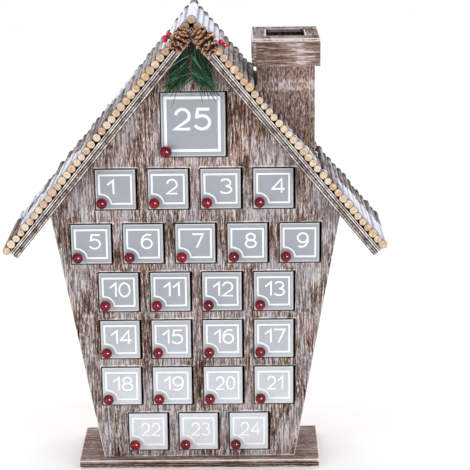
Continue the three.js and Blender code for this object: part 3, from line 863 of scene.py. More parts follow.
def add_copy(bm: BMesh, blank: Mesh) -> list[BMVert]:
    """Adds a copy of a mesh to a shape from which nothing was deleted, and returns its vertices."""
    before = len(bm.verts)
    bm.from_mesh(blank)
    bm.verts.ensure_lookup_table()
    return bm.verts[before:]


def span(bm: BMesh, axis: int) -> tuple[float, float]:
    """The lowest and highest place of a shape on an axis."""
    values = [vert.co[axis] for vert in bm.verts]
    return min(values), max(values)


def grid_lines(bm: BMesh, axis: int, step: float) -> list[float]:
    """Even places across a shape, about a step apart."""
    low, high = span(bm, axis)
    count = max(1, round((high - low) / step))
    return [low + (high - low) * index / count for index in range(1, count)]


def edge_lines(bm: BMesh, least: float) -> tuple[list[BMEdge], np.ndarray]:
    """The sharp outer edges of a shape that are long enough to show.

    Args:
        bm: The shape.
        least: The shortest edge that counts.

    Returns:
        The edges, and their ends as an array of pairs of points.
    """
    sharp = [
        edge for edge in bm.edges
        if edge.is_manifold and edge.calc_length() > least and edge.calc_face_angle_signed() > 0.5
    ]
    ends = np.array([[edge.verts[0].co[:], edge.verts[1].co[:]] for edge in sharp])
    return sharp, ends


def gaps_to(points: np.ndarray, lines: np.ndarray) -> np.ndarray:
    """The distance from each point to the nearest of several lines.

    Args:
        points: An array of points.
        lines: An array of pairs of points.

    Returns:
        One distance for each point.
    """
    nearest = np.full(len(points), 99.0)
    for start, end in lines:
        run = end - start
        share = np.clip((points - start) @ run / (run @ run), 0, 1)
        nearest = np.minimum(nearest, np.linalg.norm(points - start - share[:, None] * run, axis=1))
    return nearest


def rounded(bm: BMesh, edges: Sequence[BMEdge], radius: float,
            segments: int = 2) -> None:
    """Rounds edges of a shape."""
    bmesh.ops.bevel(bm, geom=list(edges), offset=radius, offset_type="OFFSET", segments=segments,
                    profile=0.5, affect="EDGES", clamp_overlap=True, material=-1)


def block(bm: BMesh, low: Sequence[float], high: Sequence[float]) -> list[BMVert]:
    """Adds a box between two corners.

    Args:
        bm: The shape that the box is added to.
        low: The lowest corner.
        high: The highest corner.

    Returns:
        Its corners.
    """
    size = Vector(high) - Vector(low)
    middle = (Vector(high) + Vector(low)) / 2
    matrix = Matrix.Translation(middle) @ Matrix.Diagonal((*size, 1))
    return bmesh.ops.create_cube(bm, size=1, matrix=matrix)["verts"]


def sweep(bm: BMesh, rings: Sequence[Sequence[Vector]]) -> None:
    """Extrudes a closed section from ring to ring and closes both ends.

    Args:
        bm: The shape that the sweep is added to.
        rings: The corners of the section at each step, in the same order.
    """
    start = [bm.verts.new(point) for point in rings[0]]
    face = bm.faces.new(start)
    for ring in rings[1:]:
        face = bmesh.ops.extrude_discrete_faces(bm, faces=[face])["faces"][0]
        for vert, point in zip(face.verts, ring):
            vert.co = point
    bm.faces.new(list(reversed(start)))


def tube(bm: BMesh, path: Sequence[Vector], radii: Sequence[float], sides: int = 8) -> None:
    """Adds a round tube along a path.

    Args:
        bm: The shape that the tube is added to.
        path: Its middle line.
        radii: Its radius at each point of the path.
        sides: The number of sides.
    """
    rings = []
    across = None
    for index, point in enumerate(path):
        ahead = path[min(index + 1, len(path) - 1)] - path[max(index - 1, 0)]
        ahead.normalize()
        if across is None:
            across = ahead.orthogonal().normalized()
        across = (across - ahead * across.dot(ahead)).normalized()
        up = ahead.cross(across)
        rings.append([
            point + radii[index] * (math.cos(turn) * across + math.sin(turn) * up)
            for turn in (2 * math.pi * corner / sides for corner in range(sides))
        ])
    sweep(bm, rings)


@dataclass(frozen=True)
class Whitewash:
    """Where a board with openings keeps more or less of its whitewash, in millimetres and weights."""

    under: float = 0.25
    under_reach: float = 7.0
    beside: float = -1.05
    beside_reach: float = 8.0
    gable: float = 0.3
    gable_from: float = 325.0
    gable_rise: float = 30.0

    def left_on(self, points: np.ndarray, sills: np.ndarray, sides: np.ndarray) -> np.ndarray:
        """How much whitewash is left: more below the openings and in the gable, less beside them.

        Args:
            points: The points of the board.
            sills: The lower edges of the openings.
            sides: Their upright edges.

        Returns:
            One number for each point, from about -1 to 1.
        """
        under = np.exp(-(gaps_to(points, sills) / self.under_reach) ** 2)
        beside = np.exp(-(gaps_to(points, sides) / self.beside_reach) ** 2)
        gable = np.clip((points[:, 2] - self.gable_from) / self.gable_rise, 0, 1)
        return self.under * under + self.gable * gable + self.beside * beside * (1 - under)


@dataclass(frozen=True)
class Openings:
    """The front edges of a board's openings and of its outline, each an array of pairs of points."""

    lintels: np.ndarray
    sills: np.ndarray
    sides: np.ndarray
    outline: np.ndarray


@dataclass
class Board:
    """One board of the house: a copy of its CAD node with softened, worn edges.

    Attributes:
        cell: How fine its mesh is.
        softness: Radius of its edges, of those longer than least_edge.
        cut: Whether it has door openings.
        hollow: Whether it has a hole through it, its wall painted dark as shade.
        brushed: Share of its width at which it has a pale brush mark.
        front_finish: Material of its front face, where it differs.
    """

    node: str
    finish: Material
    slot: str = "weathered_wood"
    cell: float = 5.0
    softness: float = 0.5
    least_edge: float = 7.0
    cut: bool = False
    hollow: bool = False
    brushed: float | None = None
    front_finish: Material | None = None

    BRUSH_WEIGHT: ClassVar[float] = 2.6
    BRUSH_REACH: ClassVar[float] = 9.0
    RIM: ClassVar[float] = 5.0
    SCORCH: ClassVar[float] = 0.55

    def facing(self, sharp: Sequence[BMEdge], ways: Sequence[Sequence[float]]) -> np.ndarray:
        """The front edges of faces that look one of several ways, as pairs of points.

        Args:
            sharp: The edges to choose from.
            ways: Directions in X, Y and Z.

        Returns:
            An array of pairs of points.
        """
        chosen = []
        for edge in sharp:
            normals = [face.normal for face in edge.link_faces]
            if min(normal.y for normal in normals) < -0.9 and any(
                    normal.dot(Vector(way)) > 0.999 for normal in normals for way in ways):
                chosen.append([edge.verts[0].co[:], edge.verts[1].co[:]])
        return np.array(chosen)

    def openings(self, sharp: Sequence[BMEdge], lines: np.ndarray, front: float) -> Openings:
        """Sorts the front edges, before they are rounded.

        Args:
            sharp: The board's sharp edges.
            lines: The same edges as pairs of points.
            front: Y of the front face.

        Returns:
            The edges of the openings and of the outline.
        """
        ways = [(0, 0, -1), (0, 0, 1), (1, 0, 0), (-1, 0, 0)]
        cuts = {tuple(map(tuple, pair)) for pair in self.facing(sharp, ways)}
        outline = [
            pair for pair in lines
            if tuple(map(tuple, pair)) not in cuts and pair[:, 1].max() < front + 0.1
        ]
        return Openings(self.facing(sharp, ways[:1]), self.facing(sharp, ways[1:2]),
                        self.facing(sharp, ways[2:]), np.array(outline))

    def scorched(self, points: np.ndarray) -> np.ndarray:
        """How dark each point of the hole's wall is painted, as shade deep in the hole."""
        low, high = points.min(axis=0), points.max(axis=0)
        past_left = (points[:, :2] > low[:2] + self.RIM).all(axis=1)
        past_right = (points[:, :2] < high[:2] - self.RIM).all(axis=1)
        return self.SCORCH * (past_left & past_right & (points[:, 2] < high[2] - 0.2))

    def brush_mark(self, points: np.ndarray) -> np.ndarray:
        """How much whitewash the brush mark adds at each point."""
        middle = points[:, 0].min() + self.brushed * np.ptp(points[:, 0])
        return self.BRUSH_WEIGHT * np.exp(-((points[:, 0] - middle) / self.BRUSH_REACH) ** 2)

    def make(self) -> Object:
        """Builds the board and puts it in its node's place."""
        bm = node_copy(self.node)
        sharp, lines = edge_lines(bm, self.least_edge)
        front, back = span(bm, 1)
        openings = self.openings(sharp, lines, front) if self.cut else None
        rounded(bm, sharp, self.softness)
        for axis in range(3):
            cut_across(bm, axis, grid_lines(bm, axis, self.cell))
        points = np.array([vert.co[:] for vert in bm.verts])
        numbers = {"edge_gap": gaps_to(points, openings.outline if openings else lines)}
        if openings:
            # The walls of the door openings are painted near black as shade in the gaps.
            inside = (points[:, 1] > front + 0.01) & (points[:, 1] < back - 0.01)
            numbers["gap_shade"] = inside.astype(float)
            numbers["lintel"] = 100 - gaps_to(points, openings.lintels)
            numbers["wash"] = Whitewash().left_on(points, openings.sills, openings.sides)
        if self.hollow:
            numbers["gap_shade"] = self.scorched(points)
        if self.brushed:
            numbers["wash"] = self.brush_mark(points)
        finishes = [self.finish]
        if self.front_finish:
            finishes.append(self.front_finish)
            for face in bm.faces:
                face.material_index = int(face.normal.y < -0.7)
        piece = Piece(f"{self.node}_wood", finishes, replaces=[self.node], slot=self.slot)
        return piece.add(bm, numbers)


@dataclass
class HouseBody:
    """Base, panels and walls."""

    palette: Palette

    def make(self) -> None:
        """Builds the boards of the body."""
        Board("base_board", self.palette.base, cell=3).make()
        Board("front_panel", self.palette.panel, softness=0.2, cut=True).make()
        Board("back_panel", self.palette.back, slot="plywood", cell=12).make()
        Board("side_wall_left", self.palette.upright, cell=8).make()
        Board("side_wall_right", self.palette.upright, cell=8).make()
        for name, node in frame["nodes"].items():
            if name.startswith("tray_"):
                for slot in node.material_slots:
                    slot.material = self.palette.tray
        LOG.info("body dressed")


@dataclass
class RoofBoard:
    """A roof board built from its plies, with the glue lines set back at its edges."""

    side: Side
    palette: Palette
    # The glue line and skin at the bottom are dark partly as plies and partly as painted shade under the
    # board's edge.
    layers: tuple[tuple[PlyTone, float], ...] = (
        (PlyTone.SKIN, 0.3), (PlyTone.WHITE, 1.05), (PlyTone.GLUE, 0.85), (PlyTone.WHITE, 1.15),
        (PlyTone.GLUE, 1.1), (PlyTone.HEART, 1.8), (PlyTone.GLUE, 0.8), (PlyTone.PALE, 1.15),
        (PlyTone.GLUE, 0.6), (PlyTone.SKIN, 0.2),
    )
    set_back: float = 0.5
    edge_wave: float = 0.12

    def layer(self, bm: BMesh, top: float, bottom: float, inset: float, finish: int) -> None:
        """Adds one ply.

        Args:
            bm: The shape that the ply is added to.
            top: Its upper face, out from the board's upper face.
            bottom: Its lower face.
            inset: How far its edges stand back.
            finish: Its material's place in the list.
        """
        y0 = HOUSE.roof_front + inset
        y1 = HOUSE.roof_back - inset
        end = HOUSE.slope - inset
        verts = block(bm, (0, y0, bottom), (1, y1, top))
        for vert in verts:
            out = vert.co.z
            start = (HOUSE.gap / 2 - out * HOUSE.sin_pitch) / HOUSE.cos_pitch
            down = start if vert.co.x < 0.5 else end
            x, z = HOUSE.over_roof(self.side, down, out)
            vert.co = (x, vert.co.y, z)
        for face in {face for vert in verts for face in vert.link_faces}:
            face.material_index = finish

    def make(self) -> Object:
        """Builds the board."""
        bm = bmesh.new()
        tones = list(PlyTone)
        out = 0.0
        for tone, thickness in self.layers:
            inset = self.set_back if tone in (PlyTone.GLUE, PlyTone.SKIN) else 0.0
            self.layer(bm, out, out - thickness, inset, tones.index(tone))
            out -= thickness
        cut_across(bm, 0, grid_lines(bm, 0, 6))
        cut_across(bm, 1, grid_lines(bm, 1, 12))
        for vert in bm.verts:
            if vert.co.y < HOUSE.roof_front + self.set_back + 0.01:
                vert.co.y += self.edge_wave * noise.noise(vert.co * 0.09)
        lowest = {face for face in bm.faces if face.material_index == tones.index(PlyTone.SKIN)}
        outward(bm)
        for face in lowest:
            if abs(face.normal.z) > 0.5:
                face.material_index = len(tones)
        name = f"roof_board_{self.side.name.lower()}"
        finishes = [self.palette.plies[tone] for tone in tones] + [self.palette.under_roof]
        return Piece(f"{name}_plies", finishes, replaces=[name], slot="plywood").add(bm)


@dataclass
class Chimney:
    """The boarded chimney with its collar and cap."""

    palette: Palette
    brush_place: float = 0.76

    def make(self) -> None:
        """Builds the boards of the chimney."""
        for end in ("left", "right", "front", "back"):
            Board(f"chimney_{end}", self.palette.chimney, cell=3).make()
            across = self.palette.level if end in ("front", "back") else self.palette.depth
            Board(f"collar_{end}", across, cell=4, brushed=self.brush_place if end == "front" else None,
                  front_finish=self.palette.level if end == "right" else None).make()
        Board("chimney_cap", self.palette.cap, slot="plywood", hollow=True, cell=1.4, softness=0.4,
              least_edge=2.5).make()


Stroke = list[tuple[float, float]]


def arc(middle: tuple[float, float], radii: tuple[float, float], start: float, end: float,
        steps: int = 20) -> Stroke:
    """Points of an arc, its angles in degrees counted from the right, against the clock."""
    turns = [math.radians(start + (end - start) * step / steps) for step in range(steps + 1)]
    return [(middle[0] + radii[0] * math.cos(turn), middle[1] + radii[1] * math.sin(turn)) for turn in turns]


@dataclass(frozen=True)
class Numerals:
    """Thin plain numerals, drawn as strokes on a field 10 wide and 14 high."""

    height: float = 13.4

    def strokes(self, digit: str) -> tuple[list[Stroke], float]:
        """The strokes of a digit.

        Args:
            digit: The digit.

        Returns:
            Its strokes, and its width.
        """
        top = self.height
        if digit == "0":
            return [arc((5.0, top / 2), (4.9, top / 2), 90, 450, 40)], 9.9
        if digit == "1":
            return [[(0.0, top - 4.6), (5.6, top - 0.2), (5.6, 0.0)]], 5.6
        if digit == "2":
            bowl = arc((4.9, top - 4.6), (4.5, 4.6), 172, -38, 22)
            return [bowl + [(0.0, 0.0), (9.9, 0.0)]], 9.9
        if digit == "3":
            upper = arc((4.4, top - 3.35), (4.0, 3.35), 155, -90, 20)
            lower = arc((4.4, 3.35), (4.8, 3.35), 90, -155, 22)
            return [upper, lower], 9.4
        if digit == "4":
            return [[(8.0, 0.0), (8.0, top), (0.0, 3.7)], [(-0.6, 3.7), (10.6, 3.7)]], 10.6
        if digit == "5":
            bowl = arc((4.6, 4.5), (5.1, 4.5), 130, -155, 26)
            return [[(9.7, top), (2.0, top), (0.9, 7.1)], bowl], 9.7
        if digit in "69":
            points = arc((4.8, 4.5), (4.7, 4.5), 150, -210, 36)
            crown = arc((6.2, 6.6), (6.1, top - 6.6), 200, 62, 16)
            strokes = [points, list(reversed(crown))]
            if digit == "9":
                strokes = [[(9.6 - x, top - z) for x, z in stroke] for stroke in strokes]
            return strokes, 9.6
        if digit == "7":
            return [[(0.0, top), (10.0, top), (4.0, 0.0)]], 10.0
        upper = arc((4.8, top - 3.3), (3.9, 3.3), -90, 270, 30)
        lower = arc((4.8, 3.6), (4.8, 3.6), 90, 450, 34)
        return [upper, lower], 9.6


@dataclass(frozen=True)
class PaintedLine:
    """A raised white line, laid on a door along a path."""

    width: float
    proud: float = 0.16
    sunk: float = 0.15

    def lay(self, bm: BMesh, path: Stroke, surface: float) -> None:
        """Adds the line.

        Args:
            bm: The shape that the line is added to.
            path: Its middle line in X and Z.
            surface: Y of the surface that it lies on.
        """
        points = [Vector(point) for point in path]
        closed = (points[0] - points[-1]).length < 1e-3
        rings = []
        for index, point in enumerate(points):
            if closed and index in (0, len(points) - 1):
                before, after = points[-1] - points[-2], points[1] - points[0]
            else:
                after = points[min(index + 1, len(points) - 1)] - points[index]
                before = points[index] - points[max(index - 1, 0)]
            before = before if before.length > 0 else after
            after = after if after.length > 0 else before
            before, after = before.normalized(), after.normalized()
            bisector = (before + after).normalized()
            across = Vector((-bisector.y, bisector.x))
            stretch = 1 / max(0.45, bisector.dot(after))
            offset = across * self.width / 2 * stretch
            rings.append([
                Vector((point.x + offset.x, surface - self.proud, point.y + offset.y)),
                Vector((point.x - offset.x, surface - self.proud, point.y - offset.y)),
                Vector((point.x - offset.x, surface + self.sunk, point.y - offset.y)),
                Vector((point.x + offset.x, surface + self.sunk, point.y + offset.y)),
            ])
        sweep(bm, rings)


@dataclass(frozen=True)
class Lettering:
    """How a number is painted on its door.

    Attributes:
        size: Scale of the numerals.
        squeeze: Share of their width that is kept.
        spacing: Space between two of them, before they are scaled.
        line: Width of the painted line.
        rise: Height of their middle over the leaf's middle.
    """

    size: float = 1.06
    squeeze: float = 1.0
    spacing: float = 3.2
    line: float = 1.8
    rise: float = 2.4


@dataclass
class Door:
    """One numbered door: leaf, painted frame, number, bead knob and hinge pins.

    SHIFTS says how far each number sits to the right of the leaf's middle, 1.3 where it isn't listed, and
    STRETCHED which numbers are drawn wider.
    """

    number: int
    x: float
    sill: float
    width: float
    height: float
    knob_radius: float
    palette: Palette
    thickness: float = 5.0
    side_gap: float = 0.7
    hinge_gap: float = 2.2
    corner: float = 1.6
    knob_in: float = 6.9
    knob_up: float = 7.6
    knob_seat: float = 0.3
    peg_radius: float = 1.8
    pin_radius: float = 1.0
    pin_reach: float = 2.6
    pin_root: float = 1.5
    pivot_inset: float = 2.0
    pivot_depth: float = 2.9
    arc_radii: tuple[float, float] = (11.4, 9.9)
    shrink: tuple[float, float, float] = (0.25, 0.25, 0.5)
    bead_growth: float = 0.8

    MARGINS: ClassVar[tuple[float, ...]] = (4.2, 4.1, 6.2, 6.3)
    GABLE_MARGINS: ClassVar[tuple[float, ...]] = (4.7, 6.0, 6.4, 5.8)
    BEAD_SHIFT: ClassVar[tuple[float, float]] = (0.25, 0.5)
    GABLE_BEAD_SHIFT: ClassVar[tuple[float, float]] = (-1.5, -0.9)
    SHIFTS: ClassVar[dict[int, float]] = {
        1: -4.7, 2: 4.2, 3: 5.4, 4: 5.2, 5: 3.9, 6: 3.8, 7: 2.6, 8: 3.5, 9: 3.4,
        20: 2.4, 22: 2.8, 23: 2.4, 24: 1.6, 25: -0.6,
    }
    STRETCHED: ClassVar[dict[int, float]] = {3: 1.13, 4: 1.1}

    @property
    def tag(self) -> str:
        """The number with two digits."""
        return f"{self.number:02d}"

    @property
    def is_gable(self) -> bool:
        """Whether this is the large door under the gable."""
        return self.width > 50

    @property
    def left(self) -> float:
        """The leaf's left edge."""
        return self.x - self.width / 2 + self.side_gap

    @property
    def right(self) -> float:
        """The leaf's right edge."""
        return self.x + self.width / 2 - self.hinge_gap

    @property
    def bottom(self) -> float:
        """The leaf's lower edge."""
        return self.sill + self.side_gap

    @property
    def top(self) -> float:
        """The leaf's upper edge."""
        return self.sill + self.height - self.side_gap

    def piece(self, kind: str, finish: Material, slot: str | None, stands: bool = False) -> Piece:
        """A piece that rides on this door.

        Args:
            kind: What it is.
            finish: Its material.
            slot: The record's material slot, if it has one.
            stands: Whether it stands for the door's CAD node.

        Returns:
            The piece, still without its shape.
        """
        node = f"door_{self.tag}"
        return Piece(f"{node}_{kind}", [finish], node, [node] if stands else [], slot)

    def make_leaf(self) -> None:
        """Builds the leaf with its rounded hinge edge."""
        bm = bmesh.new()
        front = HOUSE.panel_front
        left, bottom = self.left + self.shrink[0], self.bottom + self.shrink[1]
        top = self.top - self.shrink[2]
        block(bm, (left, front, bottom), (self.right, front + self.thickness, top))
        hinge = [e for e in bm.edges if all(abs(v.co.x - self.right) < 0.01 for v in e.verts)
                 and abs(e.verts[0].co.z - e.verts[1].co.z) > 1]
        _, lines = edge_lines(bm, 1)
        rounded(bm, hinge, self.corner, 4)
        soft = [e for e in bm.edges if e.is_manifold and e.calc_face_angle() > 0.6]
        rounded(bm, soft, 0.2, 2)
        for axis, low, high in ((0, left, self.right), (2, bottom, top)):
            middle = [low + (high - low) * k / 6 for k in range(1, 6)]
            cut_across(bm, axis, [low + 0.9, low + 2, *middle, high - 2, high - 0.9])
        points = np.array([vert.co[:] for vert in bm.verts])
        # The leaf's sides inside the gap are painted dark as shade, all but the rounded hinge edge.
        skin = np.where(points[:, 0] > self.right - self.corner - 0.1, self.corner + 0.1, 0.15)
        inside = (points[:, 1] > front + skin) & (points[:, 1] < front + self.thickness - 0.15)
        piece = self.piece("leaf", self.palette.door, "door_paint", True)
        piece.add(bm, {"edge_gap": gaps_to(points, lines), "gap_shade": inside.astype(float)})

    def frame_path(self) -> Stroke:
        """The painted frame's middle line, round from its upper left corner."""
        left, right, low, high = self.GABLE_MARGINS if self.is_gable else self.MARGINS
        x0, x1 = self.left + left, self.right - right
        z0, z1 = self.bottom + low, self.top - high
        if self.is_gable:
            return [(x0, (z0 + z1) / 2), (x0, z0), (x1, z0), (x1, z1), (x0, z1), (x0, (z0 + z1) / 2)]
        bend = arc((x0, z0), self.arc_radii, 90, 0, 14)
        return [(x0, (z0 + z1) / 2), *bend, (x1, z0), (x1, z1), (x0, z1), (x0, (z0 + z1) / 2)]

    def make_frame_line(self) -> None:
        """Builds the white frame."""
        bm = bmesh.new()
        line = PaintedLine(2.75 if self.is_gable else 1.75)
        line.lay(bm, self.frame_path(), HOUSE.panel_front)
        outward(bm)
        self.piece("frame_line", self.palette.line, None).add(bm)

    @property
    def lettering(self) -> Lettering:
        """How the number is painted: large under the gable, and narrow from 20 on."""
        if self.is_gable:
            return Lettering(size=1.47, spacing=3.3, line=3.05, rise=5.4)
        if self.number >= 20:
            return Lettering(size=1.02, squeeze=0.80, spacing=2.6)
        return Lettering(squeeze=self.STRETCHED.get(self.number, 1.0))

    def make_number(self) -> None:
        """Builds the number."""
        bm = bmesh.new()
        letters = self.lettering
        size = letters.size
        line = PaintedLine(letters.line)
        numerals = Numerals()
        drawn = [numerals.strokes(digit) for digit in str(self.number)]
        total = sum(width for _, width in drawn) * letters.squeeze + letters.spacing * (len(drawn) - 1)
        x = (self.left + self.right) / 2 + self.SHIFTS.get(self.number, 1.3) - total * size / 2
        z = (self.top + self.bottom) / 2 + letters.rise - numerals.height * size / 2
        for strokes, width in drawn:
            for index, stroke in enumerate(strokes):
                points = [(x + px * size * letters.squeeze, z + pz * size) for px, pz in stroke]
                line.lay(bm, points, HOUSE.panel_front - 0.02 * index)
            x += (width * letters.squeeze + letters.spacing) * size
        outward(bm)
        self.piece("number", self.palette.line, None).add(bm)

    def make_knob(self) -> None:
        """Builds the bead on its peg."""
        bm = bmesh.new()
        shift_x, shift_z = self.GABLE_BEAD_SHIFT if self.is_gable else self.BEAD_SHIFT
        x = self.x - self.width / 2 + self.knob_in + shift_x
        z = self.sill + self.knob_up + shift_z
        y = HOUSE.panel_front - self.knob_radius + self.knob_seat
        turn = Matrix.Rotation(math.pi / 2, 4, "X")
        radius = self.knob_radius + self.bead_growth
        bead = bmesh.ops.create_uvsphere(bm, u_segments=36, v_segments=22, radius=radius,
                                         matrix=Matrix.Translation((x, y, z)) @ turn)["verts"]
        seat = HOUSE.panel_front - 0.05
        for vert in bead:
            vert.co.y = min(vert.co.y, seat)
        length = 4.0
        stand = Matrix.Translation((x, y + length / 2 + 2, z)) @ turn
        bmesh.ops.create_cone(bm, cap_ends=True, segments=16, radius1=self.peg_radius,
                              radius2=self.peg_radius, depth=length, matrix=stand)
        self.piece("knob", self.palette.bead, "red_lacquer", True).add(bm)

    def make_pins(self) -> None:
        """Builds the two hinge pins."""
        bm = bmesh.new()
        x = self.right - self.pivot_inset
        y = HOUSE.panel_front + self.pivot_depth
        head = self.sill + self.height
        for low, high in ((self.sill - self.pin_reach, self.bottom + self.pin_root),
                          (self.top - self.pin_root, head + self.pin_reach)):
            ends = bmesh.ops.create_cone(bm, cap_ends=True, segments=16, radius1=self.pin_radius,
                                         radius2=self.pin_radius, depth=high - low,
                                         matrix=Matrix.Translation((x, y, (low + high) / 2)))["verts"]
            rims = {e for v in ends for e in v.link_edges if e.calc_face_angle(0) > 1}
            rounded(bm, list(rims), 0.2, 2)
        self.piece("pins", self.palette.steel, None, True).add(bm)

    def make(self) -> None:
        """Builds the door."""
        self.make_leaf()
        self.make_frame_line()
        self.make_number()
        self.make_knob()
        self.make_pins()


def all_doors(palette: Palette) -> list[Door]:
    """The doors, row by row from the top, and the gable's door last.

    Args:
        palette: The finishes.

    Returns:
        The doors.
    """
    doors: list[Door] = []
    rows = len(HOUSE.doors_per_row)
    sills = [HOUSE.lowest_sill + HOUSE.row_pitch * (rows - 1 - row) for row in range(rows)]
    sills[0] = sills[1] + HOUSE.window_height + HOUSE.top_rail
    for row, count in enumerate(HOUSE.doors_per_row):
        for column in range(count):
            x = (column - (count - 1) / 2) * HOUSE.column_pitch
            doors.append(Door(len(doors) + 1, x, sills[row], HOUSE.window, HOUSE.window_height, 4.6, palette))
    gable_sill = sills[0] + HOUSE.window_height + HOUSE.gable_rail
    size = HOUSE.gable_window
    doors.append(Door(len(doors) + 1, 0, gable_sill, size, size, 5.1, palette))
    return doors


@dataclass(frozen=True)
class TwigPlace:
    """Where a twig lies on its side of the roof."""

    index: int
    down: float
    radius: float


@dataclass
class TwigRoof:
    """The twigs laid side by side over the roof boards."""

    palette: Palette
    spread: float = 0.35
    overlap: float = 0.57
    front: float = 1.2
    front_spread: float = 0.2
    back: float = 0.8
    back_spread: float = 2.5
    growth_spread: float = 0.09
    sides: int = 14
    steps: int = 13

    @property
    def seam(self) -> float:
        """The gap between two bundles, measured from a shared bark."""
        return self.overlap + HOUSE.gap

    def places(self, side: Side) -> list[TwigPlace]:
        """Places of the twigs down one side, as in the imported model.

        Args:
            side: The side of the roof.

        Returns:
            The places, from the ridge down.
        """
        found: list[TwigPlace] = []
        slope = HOUSE.slope
        radius = HOUSE.twig_radius
        down = 2 * HOUSE.gap + self.overlap - HOUSE.ridge_lift * HOUSE.sin_pitch
        index = 1
        while True:
            following = HOUSE.twig_radius + self.spread * wobble(index, 2 + side.value)
            down += radius + following - self.overlap
            if down > slope:
                return found
            found.append(TwigPlace(index, down, following))
            radius = following
            index += 1

    def blank(self) -> Mesh:
        """A twig one unit long and one unit in radius along Y, with rings of faces at its cut ends."""
        bm = bmesh.new()
        bm.verts.layers.float.new("core")
        bmesh.ops.create_cone(bm, cap_ends=True, cap_tris=False, segments=self.sides, radius1=1, radius2=1,
                              depth=1, matrix=Matrix.Rotation(-math.pi / 2, 4, "X"))
        core = bm.verts.layers.float["core"]
        for vert in bm.verts:
            vert[core] = 1.0
            vert.co.y += 0.5
        cut_across(bm, 1, [(step + 0.5) / self.steps for step in range(self.steps)])
        for cap in [face for face in bm.faces if len(face.verts) == self.sides and face.calc_area() > 1]:
            cap.material_index = 1
            for thickness, share in ((0.10, 0.90), (0.38, 0.52)):
                bmesh.ops.inset_region(bm, faces=[cap], thickness=thickness, use_even_offset=True)
                for vert in cap.verts:
                    vert[core] = share
            middle = bmesh.ops.poke(bm, faces=[cap])["verts"][0]
            middle[core] = 0.0
        for face in bm.faces:
            if abs(face.normal.y) > 0.9:
                face.material_index = 1
        return as_mesh(bm, "twig_blank")

    def bend(self, verts: Sequence[BMVert], place: TwigPlace, seed: float,
             ends: tuple[float, float], middle: tuple[float, float], across: tuple[float, float]) -> None:
        """Grows the blank's copy into one twig.

        Args:
            verts: The copy's vertices.
            place: Where the twig lies.
            seed: A number of its own.
            ends: Y of its front and back.
            middle: X and Z of its middle line.
            across: X and Z of the direction across the twig, along the roof.
        """
        front, back = ends
        slant = (0.05 * math.sin(seed * 7), 0.05 * math.cos(seed * 5))
        for vert in verts:
            u, share, v = vert.co
            along = front + share * (back - front)
            spin = math.atan2(v, u)
            around = (math.cos(spin) * 1.3, math.sin(spin) * 1.3 + seed * 3.1)
            bump = noise.noise(Vector((around[0], along * 0.035, around[1])))
            swell = noise.noise(Vector((seed * 5.7, along * 0.05, 0.5)))
            radius = place.radius * (1 + 0.07 * bump + 0.05 * swell)
            side_way = 0.3 * noise.noise(Vector((seed * 2.3, along * 0.02, 4.4)))
            lift = 0.3 * noise.noise(Vector((seed * 1.9, along * 0.02, 8.8)))
            p, q = u * radius + side_way, v * radius + lift
            tilt = (slant[0] * u + slant[1] * v) * place.radius
            x = middle[0] + p * across[0] - q * across[1]
            z = middle[1] + p * across[1] + q * across[0]
            vert.co = (x, along + tilt, z)

    def tone(self, place: TwigPlace, side: Side | None) -> float:
        """How pale a twig is. Near the ridge the twigs are paler and more alike."""
        own = wobble(place.index, 41 + (side.value if side else 0))
        near_ridge = 1 - smooth(place.down, 60, 120)
        return 0.5 + 0.5 * own + near_ridge * (0.32 - 0.38 * own)

    def bundle(self, name: str, twigs: Sequence[tuple[TwigPlace, tuple[float, float]]],
               side: Side | None) -> None:
        """Builds a bundle of twigs in place of its CAD node.

        Args:
            name: The CAD node.
            twigs: The place and the front and back of each twig.
            side: The side of the roof, or None for the ridge.
        """
        bm = bmesh.new()
        bm.verts.layers.float.new("core")
        tones: list[float] = []
        crests: list[float] = []
        blank = self.blank()
        for place, ends in twigs:
            verts = add_copy(bm, blank)
            if side is None:
                middle = (0.0, HOUSE.ridge + HOUSE.ridge_lift)
                across = (1.0, 0.0)
                seed = 0.37
            else:
                seed = place.index + 0.31 * side.value
                place = self.grown(place, side)
                middle = HOUSE.over_roof(side, place.down, place.radius + HOUSE.gap)
                across = (HOUSE.cos_pitch, -side.value * HOUSE.sin_pitch)
            # The blank's height around each twig steers the bark's painted shade on its flanks.
            crests += [vert.co.z for vert in verts]
            self.bend(verts, place, seed, ends, middle, across)
            tones += [self.tone(place, side)] * len(verts)
        bpy.data.meshes.remove(blank)
        piece = Piece(f"{name}_bark", [self.palette.bark, self.palette.end], replaces=[name],
                      slot="twig_bark", smooth_angle=50)
        piece.add(bm, {"tone": tones, "crest": crests})

    def grown(self, place: TwigPlace, side: Side) -> TwigPlace:
        """The same place with a thicker or thinner twig, as twigs are."""
        growth = 1 + self.growth_spread * wobble(place.index, 83 + side.value)
        return TwigPlace(place.index, place.down, place.radius * growth)

    def ends(self, place: TwigPlace, side: Side) -> tuple[float, float]:
        """Y of a twig's front and back ends."""
        front = HOUSE.roof_front - self.front - self.front_spread * wobble(place.index, 11 + side.value)
        back = HOUSE.roof_back + self.back + self.back_spread * wobble(place.index, 23 + side.value)
        return front, back

    def shifted(self, places: Sequence[TwigPlace], distance: float) -> list[TwigPlace]:
        """The same places, moved down the slope."""
        return [TwigPlace(place.index, place.down + distance, place.radius) for place in places]

    def laid(self) -> dict[str, tuple[Side, list[TwigPlace]]]:
        """Every bundle's side and places, by the name of its CAD node."""
        left = self.places(Side.LEFT)
        half = math.ceil(len(left) / 2)
        right = self.places(Side.RIGHT)
        low, high, _, _ = HOUSE.chimney

        def reach(place: TwigPlace) -> tuple[float, float]:
            """The least and greatest X of a twig with its clearance."""
            x, _ = HOUSE.over_roof(Side.RIGHT, place.down, place.radius)
            return x - place.radius - HOUSE.gap, x + place.radius + HOUSE.gap

